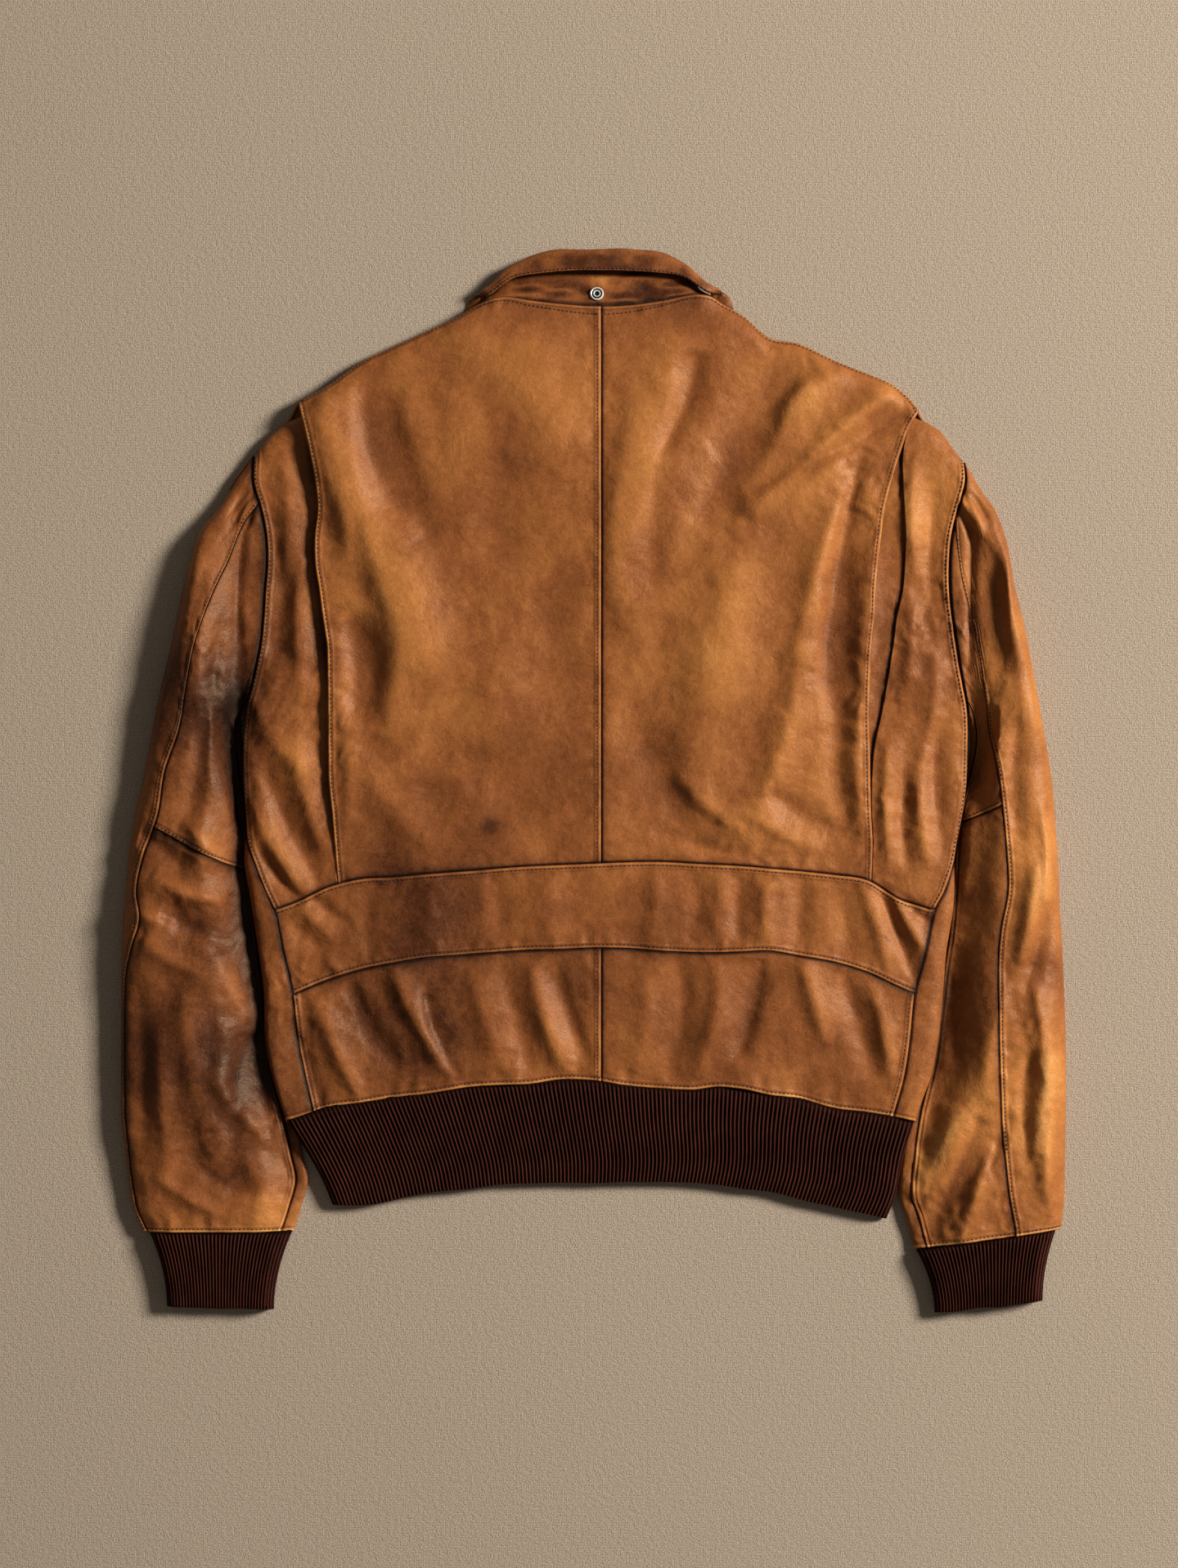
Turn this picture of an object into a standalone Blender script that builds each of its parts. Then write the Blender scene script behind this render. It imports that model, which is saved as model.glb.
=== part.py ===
"""Worn leather flight jacket, laid face down with its back showing and its sleeves beside it.

Every cut piece is its own wall. A grid is laid on the garment's outer surface between
its seams, and the wall is grown inwards from it. Tables are in millimetres: X across
the back, Y up the back towards the collar, Z up from the surface that it lies on.
"""
from math import acos, cos, exp, hypot, pi, radians, sin, sqrt

import bmesh
import bpy
from mathutils import Matrix, Vector

MM = 0.001
LEATHER = 1.5         # wall of a leather piece
KNIT = 2.6            # wall of the ribbed hem and cuffs
TAPE = 0.9            # wall of the zip's tapes
SEAM = 0.22           # each piece stops this far short of a seam
CURVED_GAP = 0.75     # or this far, where a curved seam is cut at different places on its two sides
RIM_GAP = 0.03        # and this far short of a rim, where its edge is upright
ORIGIN = (-0.8, 0.3)  # middle of the garment's outline in the tables' frame

CENTRE = 4.7          # seam down the middle of the back
ZIP = 2.0             # middle of the front closure, on the underside
ZIP_HALF_GAP = 4.2    # the fronts stop this far from it
CROSSING = 50         # height up the back where armhole and side seam meet
RIM_START = 12        # the side's rim starts to rise this far below it
RIM_BLEND = 30        # and has risen over this length
ARMHOLE_TOP = 238     # and where the armhole reaches the shoulder
SHOULDER_EDGE = 5.0   # height of the rim round a shoulder, where back meets front
SIDE_EDGE = 10.4      # height of the rim down a side, which lies on the sleeve
TUCK_HEIGHT = 7.3     # clearance under the side for the sleeve beneath it
SHOULDER_SLOPE = 0.87 # share of the way down from a shoulder line that is square to it
SIDE_SLOPE = 0.8      # the same beside the armhole
SHOULDER_ROLL = 15    # the back rounds down to the shoulder over this much
NECK_ROLL = 40        # and down to the neck seam over this much
SIDE_ROLL = 10
SIDE_ARC = 12.0       # length of the rounded rim above its widest line
UNDER_ROLL = 5
UNDER_ARC = 6.5       # and below it
NECK_RAISE = 2.6      # the fronts lie this high over the collar's leaf and the zip
NECK_MIDDLE = 3       # middle of the back neck
NECK_HALF = 76        # half its width, and the shoulders take over across NECK_BLEND more
NECK_BLEND = 20
BACK_CROWN = 1.2      # the back is this much lower 200 mm out from its centre seam
BACK_FLAT = 130       # the back keeps its middle height this far out from its centre seam
BACK_FALL = 80        # and comes down to its side height over this much more
BELT_BLEND = 42       # the panels above the belt reach their own height this far over it
PLEAT_DEPTH = 2.2     # a pleat lies this far under the panel beside it
WRAP_GAP = 3.3        # a front stops this far short of the seam while it is still rolling over the side
SIDE_SEAM_GAP = 1.7   # and this far short of it where the side seam lies flat on the back


class Table:
    """Rows of hand-set sizes under named columns, read smoothly along the first column."""

    def __init__(self, columns, *rows):
        self.columns = {name: place for place, name in enumerate(columns.split())}
        self.rows = sorted(rows)

    def at(self, name, where):
        column = self.columns[name]
        points = [(row[0], row[column]) for row in self.rows]
        where = min(max(where, points[0][0]), points[-1][0])
        last = len(points) - 2
        left = max(place for place in range(last + 1) if points[place][0] <= where)

        def slope(place):
            before, after = max(place - 1, 0), min(place + 1, last + 1)
            return (points[after][1] - points[before][1]) / (points[after][0] - points[before][0])

        (start, low), (end, high) = points[left], points[left + 1]
        span = end - start
        t = (where - start) / span
        bend = t * t * (3 - 2 * t)
        lean = span * (slope(left) * t * (1 - t) ** 2 - slope(left + 1) * t * t * (1 - t))
        return low + (high - low) * bend + lean

    def row(self, where):
        return {name: self.at(name, where) for name in self.columns}


TORSO = Table(
    "y side_left seam_left pleat_left pleat_right fold_right side_right seam_right",
    (280, -252, -252, -218, 244, 236, 271, 271),
    (260, -252, -252, -213, 231, 230, 271, 271),
    (240, -250, -250, -208.5, 223.7, 226, 271, 271),
    (220, -250.2, -250.2, -204.8, 217.5, 226, 271.5, 271.5),
    (200, -244.5, -244.5, -203.2, 212.5, 227, 266, 266),
    (180, -240.8, -240.8, -205.3, 210, 228, 261.5, 261.5),
    (160, -240.2, -240.2, -205, 207.7, 227.6, 259.8, 259.8),
    (140, -241.8, -241.8, -202, 206, 226, 260, 260),
    (120, -243, -243, -199.4, 205.2, 221.5, 262, 262),
    (100, -245, -245, -196.5, 203, 219, 264.8, 264.8),
    (75, -250.2, -250.2, -195.8, 201.8, 215, 269, 269),
    (50, -256.6, -256.6, -195.6, 201.2, 210.5, 273.6, 273.6),
    (25, -258.5, -258.5, -195.4, 201.8, 205, 274.2, 274.2),
    (0, -258.3, -258.3, -195, 202, 203, 273.3, 273.3),
    (-25, -256.4, -256.4, -192.5, 202.8, 203, 270, 270),
    (-45, -256.8, -254.5, -191, 203.8, 204, 266, 266),
    (-60, -257.3, -249.5, -190, 203.6, 203.6, 264.4, 263.4),
    (-80, -254, -241.7, -188, 203, 203, 264.2, 256.5),
    (-95, -251.8, -235, -186, 203, 203, 263.2, 249),
    (-125, -247, -228.7, -186, 203, 203, 258.4, 242.6),
    (-155, -243, -221.8, -186, 203, 203, 256, 234.8),
    (-190, -242.2, -217.9, -186, 203, 203, 252.3, 231),
    (-215, -237.4, -213, -186, 203, 203, 247.6, 227.2),
    (-235, -231.5, -208.5, -186, 203, 203, 240.4, 222),
    (-255, -225, -203.5, -186, 203, 203, 234, 216),
)

ACROSS = Table(
    "x top belt_top belt_bottom hem_seam rib_edge",
    (-240, 263, -96, -165, -251, -318),
    (-218, 279.5, -88, -154.5, -247, -317),
    (-196, 292, -77.5, -145.5, -239.5, -312),
    (-172, 309, -71.5, -138, -236, -312),
    (-148, 320.5, -70, -133, -232.3, -307.8),
    (-124, 331.5, -67.8, -129.2, -229.5, -303.5),
    (-100, 343, -66, -127.4, -225.5, -300.5),
    (-86, 351, -65, -126.2, -223.8, -298.6),
    (-67, 355.8, -63.3, -124.8, -222.8, -296.8),
    (-48, 353.2, -62, -123.6, -222.2, -295.7),
    (-25, 350.6, -61, -123, -218.9, -295),
    (0, 348.8, -60, -122, -219.6, -295),
    (23, 349.4, -59, -122.4, -223.4, -295),
    (50, 353, -58.8, -124.4, -225.6, -294.6),
    (72, 357.4, -60, -125.4, -226.4, -294.8),
    (86, 356.2, -60.7, -125.5, -224.6, -295.5),
    (93, 352, -61, -125.4, -224.3, -296.2),
    (110, 342.2, -62, -124.7, -226, -299),
    (128, 326.8, -63.6, -124.2, -230.2, -302),
    (150, 322.4, -65.6, -127.8, -233, -306.6),
    (176, 310, -68.4, -132.6, -240.2, -313.5),
    (200, 300.5, -72.3, -140, -243, -318.4),
    (222, 290, -85.6, -150.2, -246.8, -323),
    (245, 268, -93.5, -160, -252, -324),
)

SIDE_TOP = Table(
    "x top",
    (-253, 236), (-250, 240), (-242, 251.6), (-234, 259), (-227, 264), (-219, 267.5), (-200, 275),
    (215, 276), (230, 270), (241, 265.6), (247, 262.6), (255, 257), (261, 249), (266.6, 241), (272, 234),
)

NECKLINE = Table("x low", (0, 283), (22, 284.5), (42, 291), (60, 304), (74, 323), (83, 342), (90, 353))

HEIGHTS = Table(
    "y middle side",
    (360, 15.5, 11),
    (320, 18.5, 12),
    (250, 20.5, 13.5),
    (180, 21, 14),
    (100, 20.5, 14.2),
    (20, 19.5, 14.6),
    (-40, 18.5, 15),
    (-95, 18, 15.6),
    (-160, 17, 15.2),
    (-220, 15, 14.4),
    (-250, 14, 14),
    (-320, 9.6, 9.4),
)

# Largest folds: a soft ridge (rise > 0) or trough (rise < 0) along a line, with its half width.
FOLDS = Table(
    "start_x start_y end_x end_y width rise",
    (60, 330, 20, 170, 20, 2.4),
    (72, 312, 48, 245, 14, -2.6),
    (212, 288, 105, 190, 14, 3.4),
    (230, 278, 118, 216, 13, -3.2),
    (150, 318, 92, 250, 14, -2.2),
    (195, 240, 180, 110, 9, -3.0),
    (180, 110, 182, -10, 9, -2.8),
    (185, 220, 147, 90, 13, 2.8),
    (146, 86, 120, -20, 14, 2.2),
    (-154, 285, -124, 183, 14, -3.2),
    (-177, 290, -160, 165, 13, 2.6),
    (-158, 160, -124, 69, 14, 2.4),
    (-178, 110, -176, 60, 9, -2.2),
    (-148, -136, -102, -216, 9, 2.4),
    (-177, -148, -143, -206, 9, -2.4),
    (-200, -160, -174, -229, 8, 2.0),
    (-45, -136, -24, -212, 9, 1.8),
    (-28, -140, -8, -205, 8, -1.8),
    (121, -137, 104, -198, 9, -2.2),
    (151, -131, 169, -188, 9, 2.2),
    (127, -70, 126, -122, 7, 1.4),
    (148, -72, 149, -124, 7, -1.2),
    (-244, 8, -204, -72, 9, -2.2),
    (229, 5, 230, -62, 8, -2.4),
    (-259, 192, -261, 62, 6, -8.5),
    (-276, 150, -290, 60, 11, 2.0),
    (-300, -30, -268, -62, 8, 2.2),
    (-316, -98, -270, -118, 10, -2.6),
    (-300, -150, -285, -250, 12, 2.2),
    (-256, -190, -262, -300, 10, -2.4),
    (277, 190, 275, 90, 6, -6.5),
    (322, -62, 312, -130, 9, 2.4),
    (334, -160, 318, -285, 11, 2.0),
    (282, -250, 244, -336, 9, -2.6),
    (262, -240, 232, -300, 8, 2.2),
)

LEFT_SLEEVE = Table(
    "ring outer_x outer_y inner_x inner_y bow crown rim_in rim_out armhole",
    (0, -250, 240, -256.6, 50, 0, 15, 10.4, 5, 1),
    (1, -252.6, 236.5, -257.6, 48, 0, 15, 9.7, 5, 0.85),
    (2, -256, 232, -258.4, 45.8, 0, 15, 8.8, 5.4, 0.7),
    (3, -262.5, 223, -259, 42.5, -1, 16, 7.7, 6, 0.5),
    (4, -269, 212.5, -259.4, 38, -3, 18, 6.5, 6.6, 0.3),
    (5, -276.5, 201, -259.6, 32.5, -6, 20.5, 5.3, 7, 0.12),
    (6, -289.8, 182.6, -258.8, 25, -9, 23, 4.2, 7.6, 0),
    (7, -298, 155, -257, 15, -10, 25, 3.5, 8, 0),
    (8, -305, 124, -254.5, 3, -9, 26, 3.2, 8, 0),
    (9, -312, 92, -251.5, -10, -8, 26.5, 3.2, 8, 0),
    (10, -318.4, 66, -249.2, -22, -7, 26.5, 3.2, 8, 0),
    (11, -325, 33, -247.5, -36, -5, 26, 3.2, 8, 0),
    (12, -331, 0, -246.5, -52, -4, 26, 3.2, 8, 0),
    (13, -337, -26, -245.5, -68, -3, 26, 3.2, 8, 0),
    (14, -341.5, -56, -243.5, -87, -1, 24, 3.2, 8, 0),
    (15, -343.8, -85, -241, -104, 0, 24, 3.2, 8, 0),
    (16, -345.6, -103, -239, -120, 0, 24, 3.2, 8, 0),
    (17, -346.5, -122, -237, -136, 0, 24.5, 3.2, 8, 0),
    (18, -346.6, -150, -234.5, -160, 0, 24.5, 3.2, 8, 0),
    (19, -346.8, -185, -231, -190, 0, 24, 3.2, 8, 0),
    (20, -347.1, -220, -225.5, -224, 0, 23, 3.2, 7.6, 0),
    (21, -346.8, -247, -218.5, -251, 0, 22, 3.2, 7.2, 0),
    (22, -344.2, -270, -213.5, -276, 0, 20.5, 3.6, 6.8, 0),
    (23, -342, -292, -210, -294, 0, 19, 4.2, 6.4, 0),
    (24, -338, -314, -214.8, -313, 0, 17.5, 4.8, 6, 0),
    (25, -330.5, -331, -220.5, -331, 0, 16.5, 5, 5.6, 0),
)
LEFT_CROSS_RING = 13

# Seam down the outside of each sleeve: how far across it lies at each height.
LEFT_ELBOW = Table(
    "y seam",
    (205, -246), (189, -258), (164, -268), (138, -279.5), (102, -292), (73, -298), (38, -304), (8, -314.5),
    (-25, -320), (-55, -331), (-80, -336), (-100, -333), (-122, -339.5), (-145, -344), (-217, -345),
    (-247, -344.6), (-270, -342.4), (-292, -340.3), (-314, -336.4), (-331, -329),
)

RIGHT_SLEEVE = Table(
    "ring outer_x outer_y inner_x inner_y bow crown rim_in rim_out armhole",
    (0, 270.6, 235, 273.6, 50, 0, 15, 10.4, 5, 1),
    (1, 273, 231, 274.7, 48, 0, 15, 9.7, 5, 0.85),
    (2, 276, 226, 275.5, 45.8, 0, 15, 8.8, 5.4, 0.7),
    (3, 281, 218, 276, 42.5, -1, 16, 7.7, 6, 0.5),
    (4, 287, 209.5, 276.5, 38, -3, 18, 6.5, 6.6, 0.3),
    (5, 294, 199.5, 276.5, 32, -6, 20.5, 5.3, 7, 0.12),
    (6, 301.7, 176, 275.5, 23.5, -10, 23, 4.2, 7.6, 0),
    (7, 307, 145, 273, 12, -11, 25, 3.5, 8, 0),
    (8, 314, 117, 269.5, 0, -10, 26, 3.2, 8, 0),
    (9, 320.7, 83, 266, -10, -7, 26.5, 3.2, 8, 0),
    (10, 326.6, 50, 262, -20, -5, 26.5, 3.2, 8, 0),
    (11, 334.6, 2, 257.5, -33, -2, 26, 3.2, 8, 0),
    (12, 337.6, -33, 255.5, -56, 0, 26, 3.2, 8, 0),
    (13, 339.6, -62, 254, -79, 0, 25.5, 3.2, 8, 0),
    (14, 340.5, -90, 252.5, -101, 0, 25, 3.2, 8, 0),
    (15, 342, -113, 250, -122, 0, 24.5, 3.2, 8, 0),
    (16, 343.3, -140, 246.5, -146, 0, 24, 3.2, 8, 0),
    (17, 344.6, -172, 243, -176, 0, 23.5, 3.2, 8, 0),
    (18, 345.3, -206, 238, -210, 0, 23, 3.2, 8, 0),
    (19, 345.3, -240, 229.5, -245, 0, 22.5, 3.2, 7.6, 0),
    (20, 344.8, -270, 225, -276, 0, 21.5, 3.2, 7.2, 0),
    (21, 344.4, -295, 222.5, -303, 0, 20, 3.8, 6.8, 0),
    (22, 343.6, -314, 228, -321, 0, 18, 4.4, 6.2, 0),
    (23, 341.6, -329, 234, -344, 0, 16.5, 5, 5.6, 0),
)
RIGHT_CROSS_RING = 11

RIGHT_ELBOW = Table(
    "y seam",
    (187, 264.8), (149, 269.7), (111, 279.5), (80, 284), (30, 291), (0, 296), (-50, 300.6), (-80, 302),
    (-109, 297), (-139, 295), (-200, 295.7), (-250, 298), (-300, 303), (-329, 308.4),
)

RIB_SIDES = Table(
    "down left_x left_y right_x right_y",
    (0, -226.8, -249.8, 235, -251.8),
    (0.35, -213, -276, 227.4, -273),
    (0.75, -199.5, -299, 222, -299),
    (1, -193, -311.5, 214.8, -321.8),
)

CUFFS = Table(
    "cuff outer_x outer_y inner_x inner_y end_outer_x end_outer_y end_inner_x end_inner_y",
    (0, -328, -331.8, -222.2, -331.6, -314.8, -385.6, -236, -388.6),
    (1, 339.6, -330.2, 236.6, -346, 329.6, -382.2, 250, -390.6),
)

COLLAR = Table(
    "station seam_x seam_y seam_z fold_x fold_y fold_z edge_x edge_y edge_z roll tilt",
    (0, -8, 284.4, 2.6, -9, 297, 2.1, -48, 240, 0, 2.1, -89),
    (1, -30, 288.4, 2.6, -30, 300, 2.1, -72, 252, 0, 2.1, -89),
    (2, -52, 301, 2.6, -49, 313, 2.1, -98, 274, 0, 2.1, -88),
    (3, -69.5, 320.5, 2.8, -65, 331.5, 2.6, -110, 302, 0, 2.4, -86),
    (4, -79.5, 340.5, 3.2, -75.5, 347, 3, -104, 325, 0, 2.6, -78),
    (5, -84.5, 352, 7.5, -81, 359, 6.8, -92, 353, 0.8, 4, -10),
    (6, -73, 355.8, 13, -76, 366, 7.6, -77.5, 358, 15.4, 4.6, 72),
    (7, -56, 354.7, 14.6, -60, 380.5, 7.4, -60, 369.5, 16.4, 5, 86),
    (8, -38, 352, 15, -40, 388.8, 7.2, -40, 373, 17, 5.2, 88),
    (9, -16, 349.8, 15.2, -16, 391.4, 7, -17, 374.8, 17.4, 5.2, 89),
    (10, 6, 348.9, 15.2, 6, 391.8, 7, 5, 375, 17.4, 5.2, 90),
    (11, 28, 350, 15.2, 29, 391.2, 7, 28, 374.4, 17.4, 5.2, 89),
    (12, 46, 352.5, 15, 49, 389.6, 7.2, 47, 373.4, 17, 5.2, 88),
    (13, 62, 356, 14.6, 66, 381, 7.4, 64, 370.6, 16.4, 5, 86),
    (14, 78, 357.4, 13, 81, 367, 7.6, 82, 360, 15.4, 4.6, 72),
    (15, 91.5, 354, 7.5, 88, 361, 6.6, 99, 355, 0.8, 4, -10),
    (16, 83.5, 340.5, 3.0, 80.5, 347, 2.6, 109, 325, 0, 2.4, -78),
    (17, 73.2, 320.5, 2.8, 69, 331.5, 2.6, 115, 302, 0, 2.4, -86),
    (18, 57, 301, 2.6, 54, 313, 2.1, 103, 274, 0, 2.1, -88),
    (19, 35, 288.4, 2.6, 35, 300, 2.1, 77, 252, 0, 2.1, -89),
    (20, 12, 284.4, 2.6, 13, 297, 2.1, 53, 240, 0, 2.1, -89),
)


def ease(t):
    t = min(max(t, 0), 1)
    return t * t * (3 - 2 * t)


def mix(start, end, t):
    return start + (end - start) * t


def roll(distance, radius):
    """How far up a rounded rim has risen, 0 to 1, at this distance in from its edge."""
    t = min(max(distance / radius, 0), 1)
    return sqrt(1 - (1 - t) ** 2)


def folds(x, y):
    rise = 0
    for start_x, start_y, end_x, end_y, width, high in FOLDS.rows:
        along_x, along_y = end_x - start_x, end_y - start_y
        t = ((x - start_x) * along_x + (y - start_y) * along_y) / (along_x ** 2 + along_y ** 2)
        t = min(max(t, 0), 1)
        apart = hypot(x - start_x - t * along_x, y - start_y - t * along_y)
        rise += high * exp(-(apart / width) ** 2)
    return rise


# The back's outer surface

def neck_share(x):
    """1 along the back neck, where the collar joins, and 0 out on the shoulders."""
    return 1 - ease((abs(x - NECK_MIDDLE) - NECK_HALF) / NECK_BLEND)


def above_belt(x, y):
    """0 at the belt's upper edge and 1 where the panels above it have their own height."""
    return ease((y - ACROSS.at("belt_top", x) - 2) / BELT_BLEND)


def below_crossing(y):
    """1 down the side, where its rim lies on the sleeve, and 0 beside the armhole."""
    return 1 - ease((y - CROSSING + RIM_START) / RIM_BLEND)


def lower_back(x, y):
    side = ease((abs(x - CENTRE) - BACK_FLAT) / BACK_FALL)
    return mix(HEIGHTS.at("middle", y), HEIGHTS.at("side", y), side)


def side_rim(x, y, high):
    """Rounds a height down to the rim along the side, below the crossing."""
    edge = TORSO.at("side_left" if x < 0 else "side_right", y)
    rim = mix(high, SIDE_EDGE, below_crossing(y))
    return rim + (high - rim) * roll(abs(edge) - abs(x), SIDE_ROLL)


def middle_height(x, y):
    """Outer surface of the two back panels between the pleats."""
    lift = above_belt(x, y)
    crowned = HEIGHTS.at("middle", y) - BACK_CROWN * (abs(x - CENTRE) / 200) ** 2
    high = mix(lower_back(x, y), crowned, lift)
    top = ACROSS.at("top", x)
    rim = mix(SHOULDER_EDGE, HEIGHTS.at("middle", 360), neck_share(x))
    radius = mix(SHOULDER_ROLL, NECK_ROLL, neck_share(x))
    return rim + (high + folds(x, y) - rim) * roll(SHOULDER_SLOPE * (top - y), radius)


def side_height(x, y):
    """Outer surface of the panels between a pleat and an armhole, and of the hem below the belt."""
    lift = above_belt(x, y)
    high = mix(lower_back(x, y), HEIGHTS.at("side", y), lift) + folds(x, y)
    share = roll(SIDE_SLOPE * (SIDE_TOP.at("top", x) - y), SHOULDER_ROLL)
    high = SHOULDER_EDGE + (high - SHOULDER_EDGE) * share
    return side_rim(x, y, high)


def below_height(x, y):
    """Outer surface of the belt and of the panels below it."""
    return side_rim(x, y, lower_back(x, y) + folds(x, y))


# Walls

def grid(across, up, place):
    """An open sheet with a point at place(u, v) for each step across and each step up."""
    sheet = bmesh.new()
    bmesh.ops.create_grid(sheet, x_segments=len(across) - 1, y_segments=len(up) - 1, size=1)
    inner = sheet.verts.layers.float_vector.new("inner")
    sheet.verts.ensure_lookup_table()
    for number, vertex in enumerate(sheet.verts):
        u, v = across[number % len(across)], up[number // len(across)]
        outside, inside = place(u, v)
        vertex.co, vertex[inner] = outside, inside
    return sheet


def facing(place, u, v, step=0.002, step_up=0.002):
    """The way that the surface place(u, v) faces, from points beside it."""
    along = Vector(place(u + step, v)) - Vector(place(u - step, v))
    up = Vector(place(u, v + step_up)) - Vector(place(u, v - step_up))
    return along.cross(up).normalized()


def finish(name, sheet, finish_name, wrap=False):
    """Grows the sheet inwards into a wall and adds it to the scene under its name."""
    if wrap:
        bmesh.ops.remove_doubles(sheet, verts=sheet.verts[:], dist=1e-4)
    inner = sheet.verts.layers.float_vector["inner"]
    grown = bmesh.ops.extrude_face_region(sheet, geom=sheet.faces[:], use_keep_orig=True)
    for vertex in [part for part in grown["geom"] if isinstance(part, bmesh.types.BMVert)]:
        vertex.co = vertex[inner]
    bmesh.ops.recalc_face_normals(sheet, faces=sheet.faces[:])
    return add(name, sheet, finish_name)


def add(name, shape, finish_name):
    """Moves a shape in millimetres to the part's own frame, in metres, and gives it its finish."""
    shape.transform(Matrix.Scale(MM, 4) @ Matrix.Translation((-ORIGIN[0], -ORIGIN[1], 0)))
    mesh = bpy.data.meshes.new(name)
    shape.to_mesh(mesh)
    shape.free()
    mesh.materials.append(finishes[finish_name])
    mesh.shade_smooth()
    mesh.set_sharp_from_angle(angle=radians(40))
    piece = bpy.data.objects.new(name, mesh)
    jacket.objects.link(piece)
    return piece


def steps(count, start=0.0, end=1.0):
    return [mix(start, end, place / count) for place in range(count + 1)]


def panel(name, across, up, left, right, low, high, height, wall, finish_name, top_gap=SEAM):
    """A wall between two edges x(y) and two edges y(x), each kept short of its seam."""
    def spot(u, v):
        x = mix(left(0), right(0), u)
        for _ in range(4):
            y = mix(low(x) + SEAM, high(x) - top_gap, v)
            x = mix(left(y) + SEAM, right(y) - SEAM, u)
        return x, y, height(x, y)

    def place(u, v):
        x, y, z = spot(u, v)
        reach = 0.3
        slope_x = (height(x + reach, y) - height(x - reach, y)) / (2 * reach)
        slope_y = (height(x, y + reach) - height(x, y - reach)) / (2 * reach)
        return (x, y, z), Vector((x, y, z)) - wall * Vector((-slope_x, -slope_y, 1)).normalized()

    return finish(name, grid(across, up, place), finish_name)


# Pieces of the back

def back_panels():
    rows = steps(14)
    for name, left, right in (
        ("back_left", lambda y: TORSO.at("pleat_left", y), lambda y: CENTRE),
        ("back_right", lambda y: CENTRE, lambda y: TORSO.at("pleat_right", y)),
    ):
        panel(name, steps(9), rows, left, right, lambda x: ACROSS.at("belt_top", x),
              lambda x: ACROSS.at("top", x), middle_height, LEATHER, "leather", RIM_GAP)


PLEAT_LOW, PLEAT_HIGH = -30, 262  # a pleat opens from these heights, over the lengths beside them
PLEAT_OPENS, PLEAT_SHUTS = 40, 25
SIDE_LAP = 12         # the left side panel runs this far on under the back panel where its pleat is open


def pleat_reach(y, most):
    """How far a piece runs on under the back panel: nothing at the belt and the shoulder."""
    return most * ease((y - PLEAT_LOW) / PLEAT_OPENS) * ease((PLEAT_HIGH - y) / PLEAT_SHUTS)


def side_panels():
    rows = steps(13)
    across = [0, 0.035, 0.1, 0.25, 0.5, 0.75, 1]
    panel("side_back_left", across, rows, lambda y: TORSO.at("seam_left", y),
          lambda y: TORSO.at("pleat_left", y) + pleat_reach(y, SIDE_LAP), lambda x: ACROSS.at("belt_top", x),
          lambda x: SIDE_TOP.at("top", x), side_height, LEATHER, "leather", RIM_GAP)
    panel("side_back_right", [1 - place for place in reversed(across)], rows,
          lambda y: TORSO.at("fold_right", y), lambda y: TORSO.at("seam_right", y),
          lambda x: ACROSS.at("belt_top", x), lambda x: SIDE_TOP.at("top", x), side_height,
          LEATHER, "leather", RIM_GAP)


def pleats():
    def sunk(x, y):
        return side_height(x, y) - PLEAT_DEPTH

    panel("pleat_left", steps(3), steps(7), lambda y: TORSO.at("pleat_left", y) - 8,
          lambda y: TORSO.at("pleat_left", y) + 10 + pleat_reach(y, 16), lambda x: -5, lambda x: 238,
          sunk, 1.2, "leather")
    panel("pleat_right", steps(4), steps(7), lambda y: TORSO.at("pleat_right", y) - 14,
          lambda y: TORSO.at("fold_right", y) + 10, lambda x: 18, lambda x: 228, sunk, 1.2, "leather")


def belt_and_lower_back():
    def side(column):
        return lambda y: TORSO.at(column, y)

    closer_at_ends = [(t + (1 - cos(pi * t)) / 2) / 2 for t in steps(24)]
    panel("belt_back", closer_at_ends, steps(2), side("seam_left"), side("seam_right"),
          lambda x: ACROSS.at("belt_bottom", x), lambda x: ACROSS.at("belt_top", x), below_height,
          LEATHER, "leather", CURVED_GAP)
    panel("lower_back_left", steps(10), steps(5), side("seam_left"), lambda y: CENTRE,
          lambda x: ACROSS.at("hem_seam", x), lambda x: ACROSS.at("belt_bottom", x), below_height,
          LEATHER, "leather", CURVED_GAP)
    panel("lower_back_right", steps(10), steps(5), lambda y: CENTRE, side("seam_right"),
          lambda x: ACROSS.at("hem_seam", x), lambda x: ACROSS.at("belt_bottom", x), below_height,
          LEATHER, "leather", CURVED_GAP)


# Fronts, which wrap round the sides to the side seams

SLEEVE_REACH, SLEEVE_FADE = 14, 26   # the front clears the sleeve this far in from the side, then comes down
ZIP_REACH, ZIP_FADE = 18, 14         # and clears the zip this far out from it
COLLAR_REACH, COLLAR_FADE = 136, 16  # and the collar's leaf this far from the back neck
COLLAR_X, COLLAR_Y, COLLAR_LONGER = 2.5, 350, 1.05


def over_zip(x):
    return NECK_RAISE * (1 - ease((abs(x - ZIP) - ZIP_REACH) / ZIP_FADE))


def under_height(x, y):
    """Outer surface of a front where it faces down: raised over a sleeve, the collar and the zip."""
    distance = abs(TORSO.at("side_left" if x < ZIP else "side_right", y) - x)
    beside = 1 - ease((distance - SLEEVE_REACH) / SLEEVE_FADE)
    over_sleeve = TUCK_HEIGHT * (1 - ease((y - CROSSING) / 40)) * beside
    from_neck = hypot((x - COLLAR_X) / COLLAR_LONGER, y - COLLAR_Y)
    over_collar = NECK_RAISE * (1 - ease((from_neck - COLLAR_REACH) / COLLAR_FADE))
    return max(over_sleeve, over_zip(x), over_collar)


def front_hem(x):
    """Seam between a front and the ribbed hem, on the underside."""
    return -250.5 + 4.5 * ease((200 - abs(x)) / 120)


NECK_NOTCH = 7        # dip in a front's upper edge beside the collar's end


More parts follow.
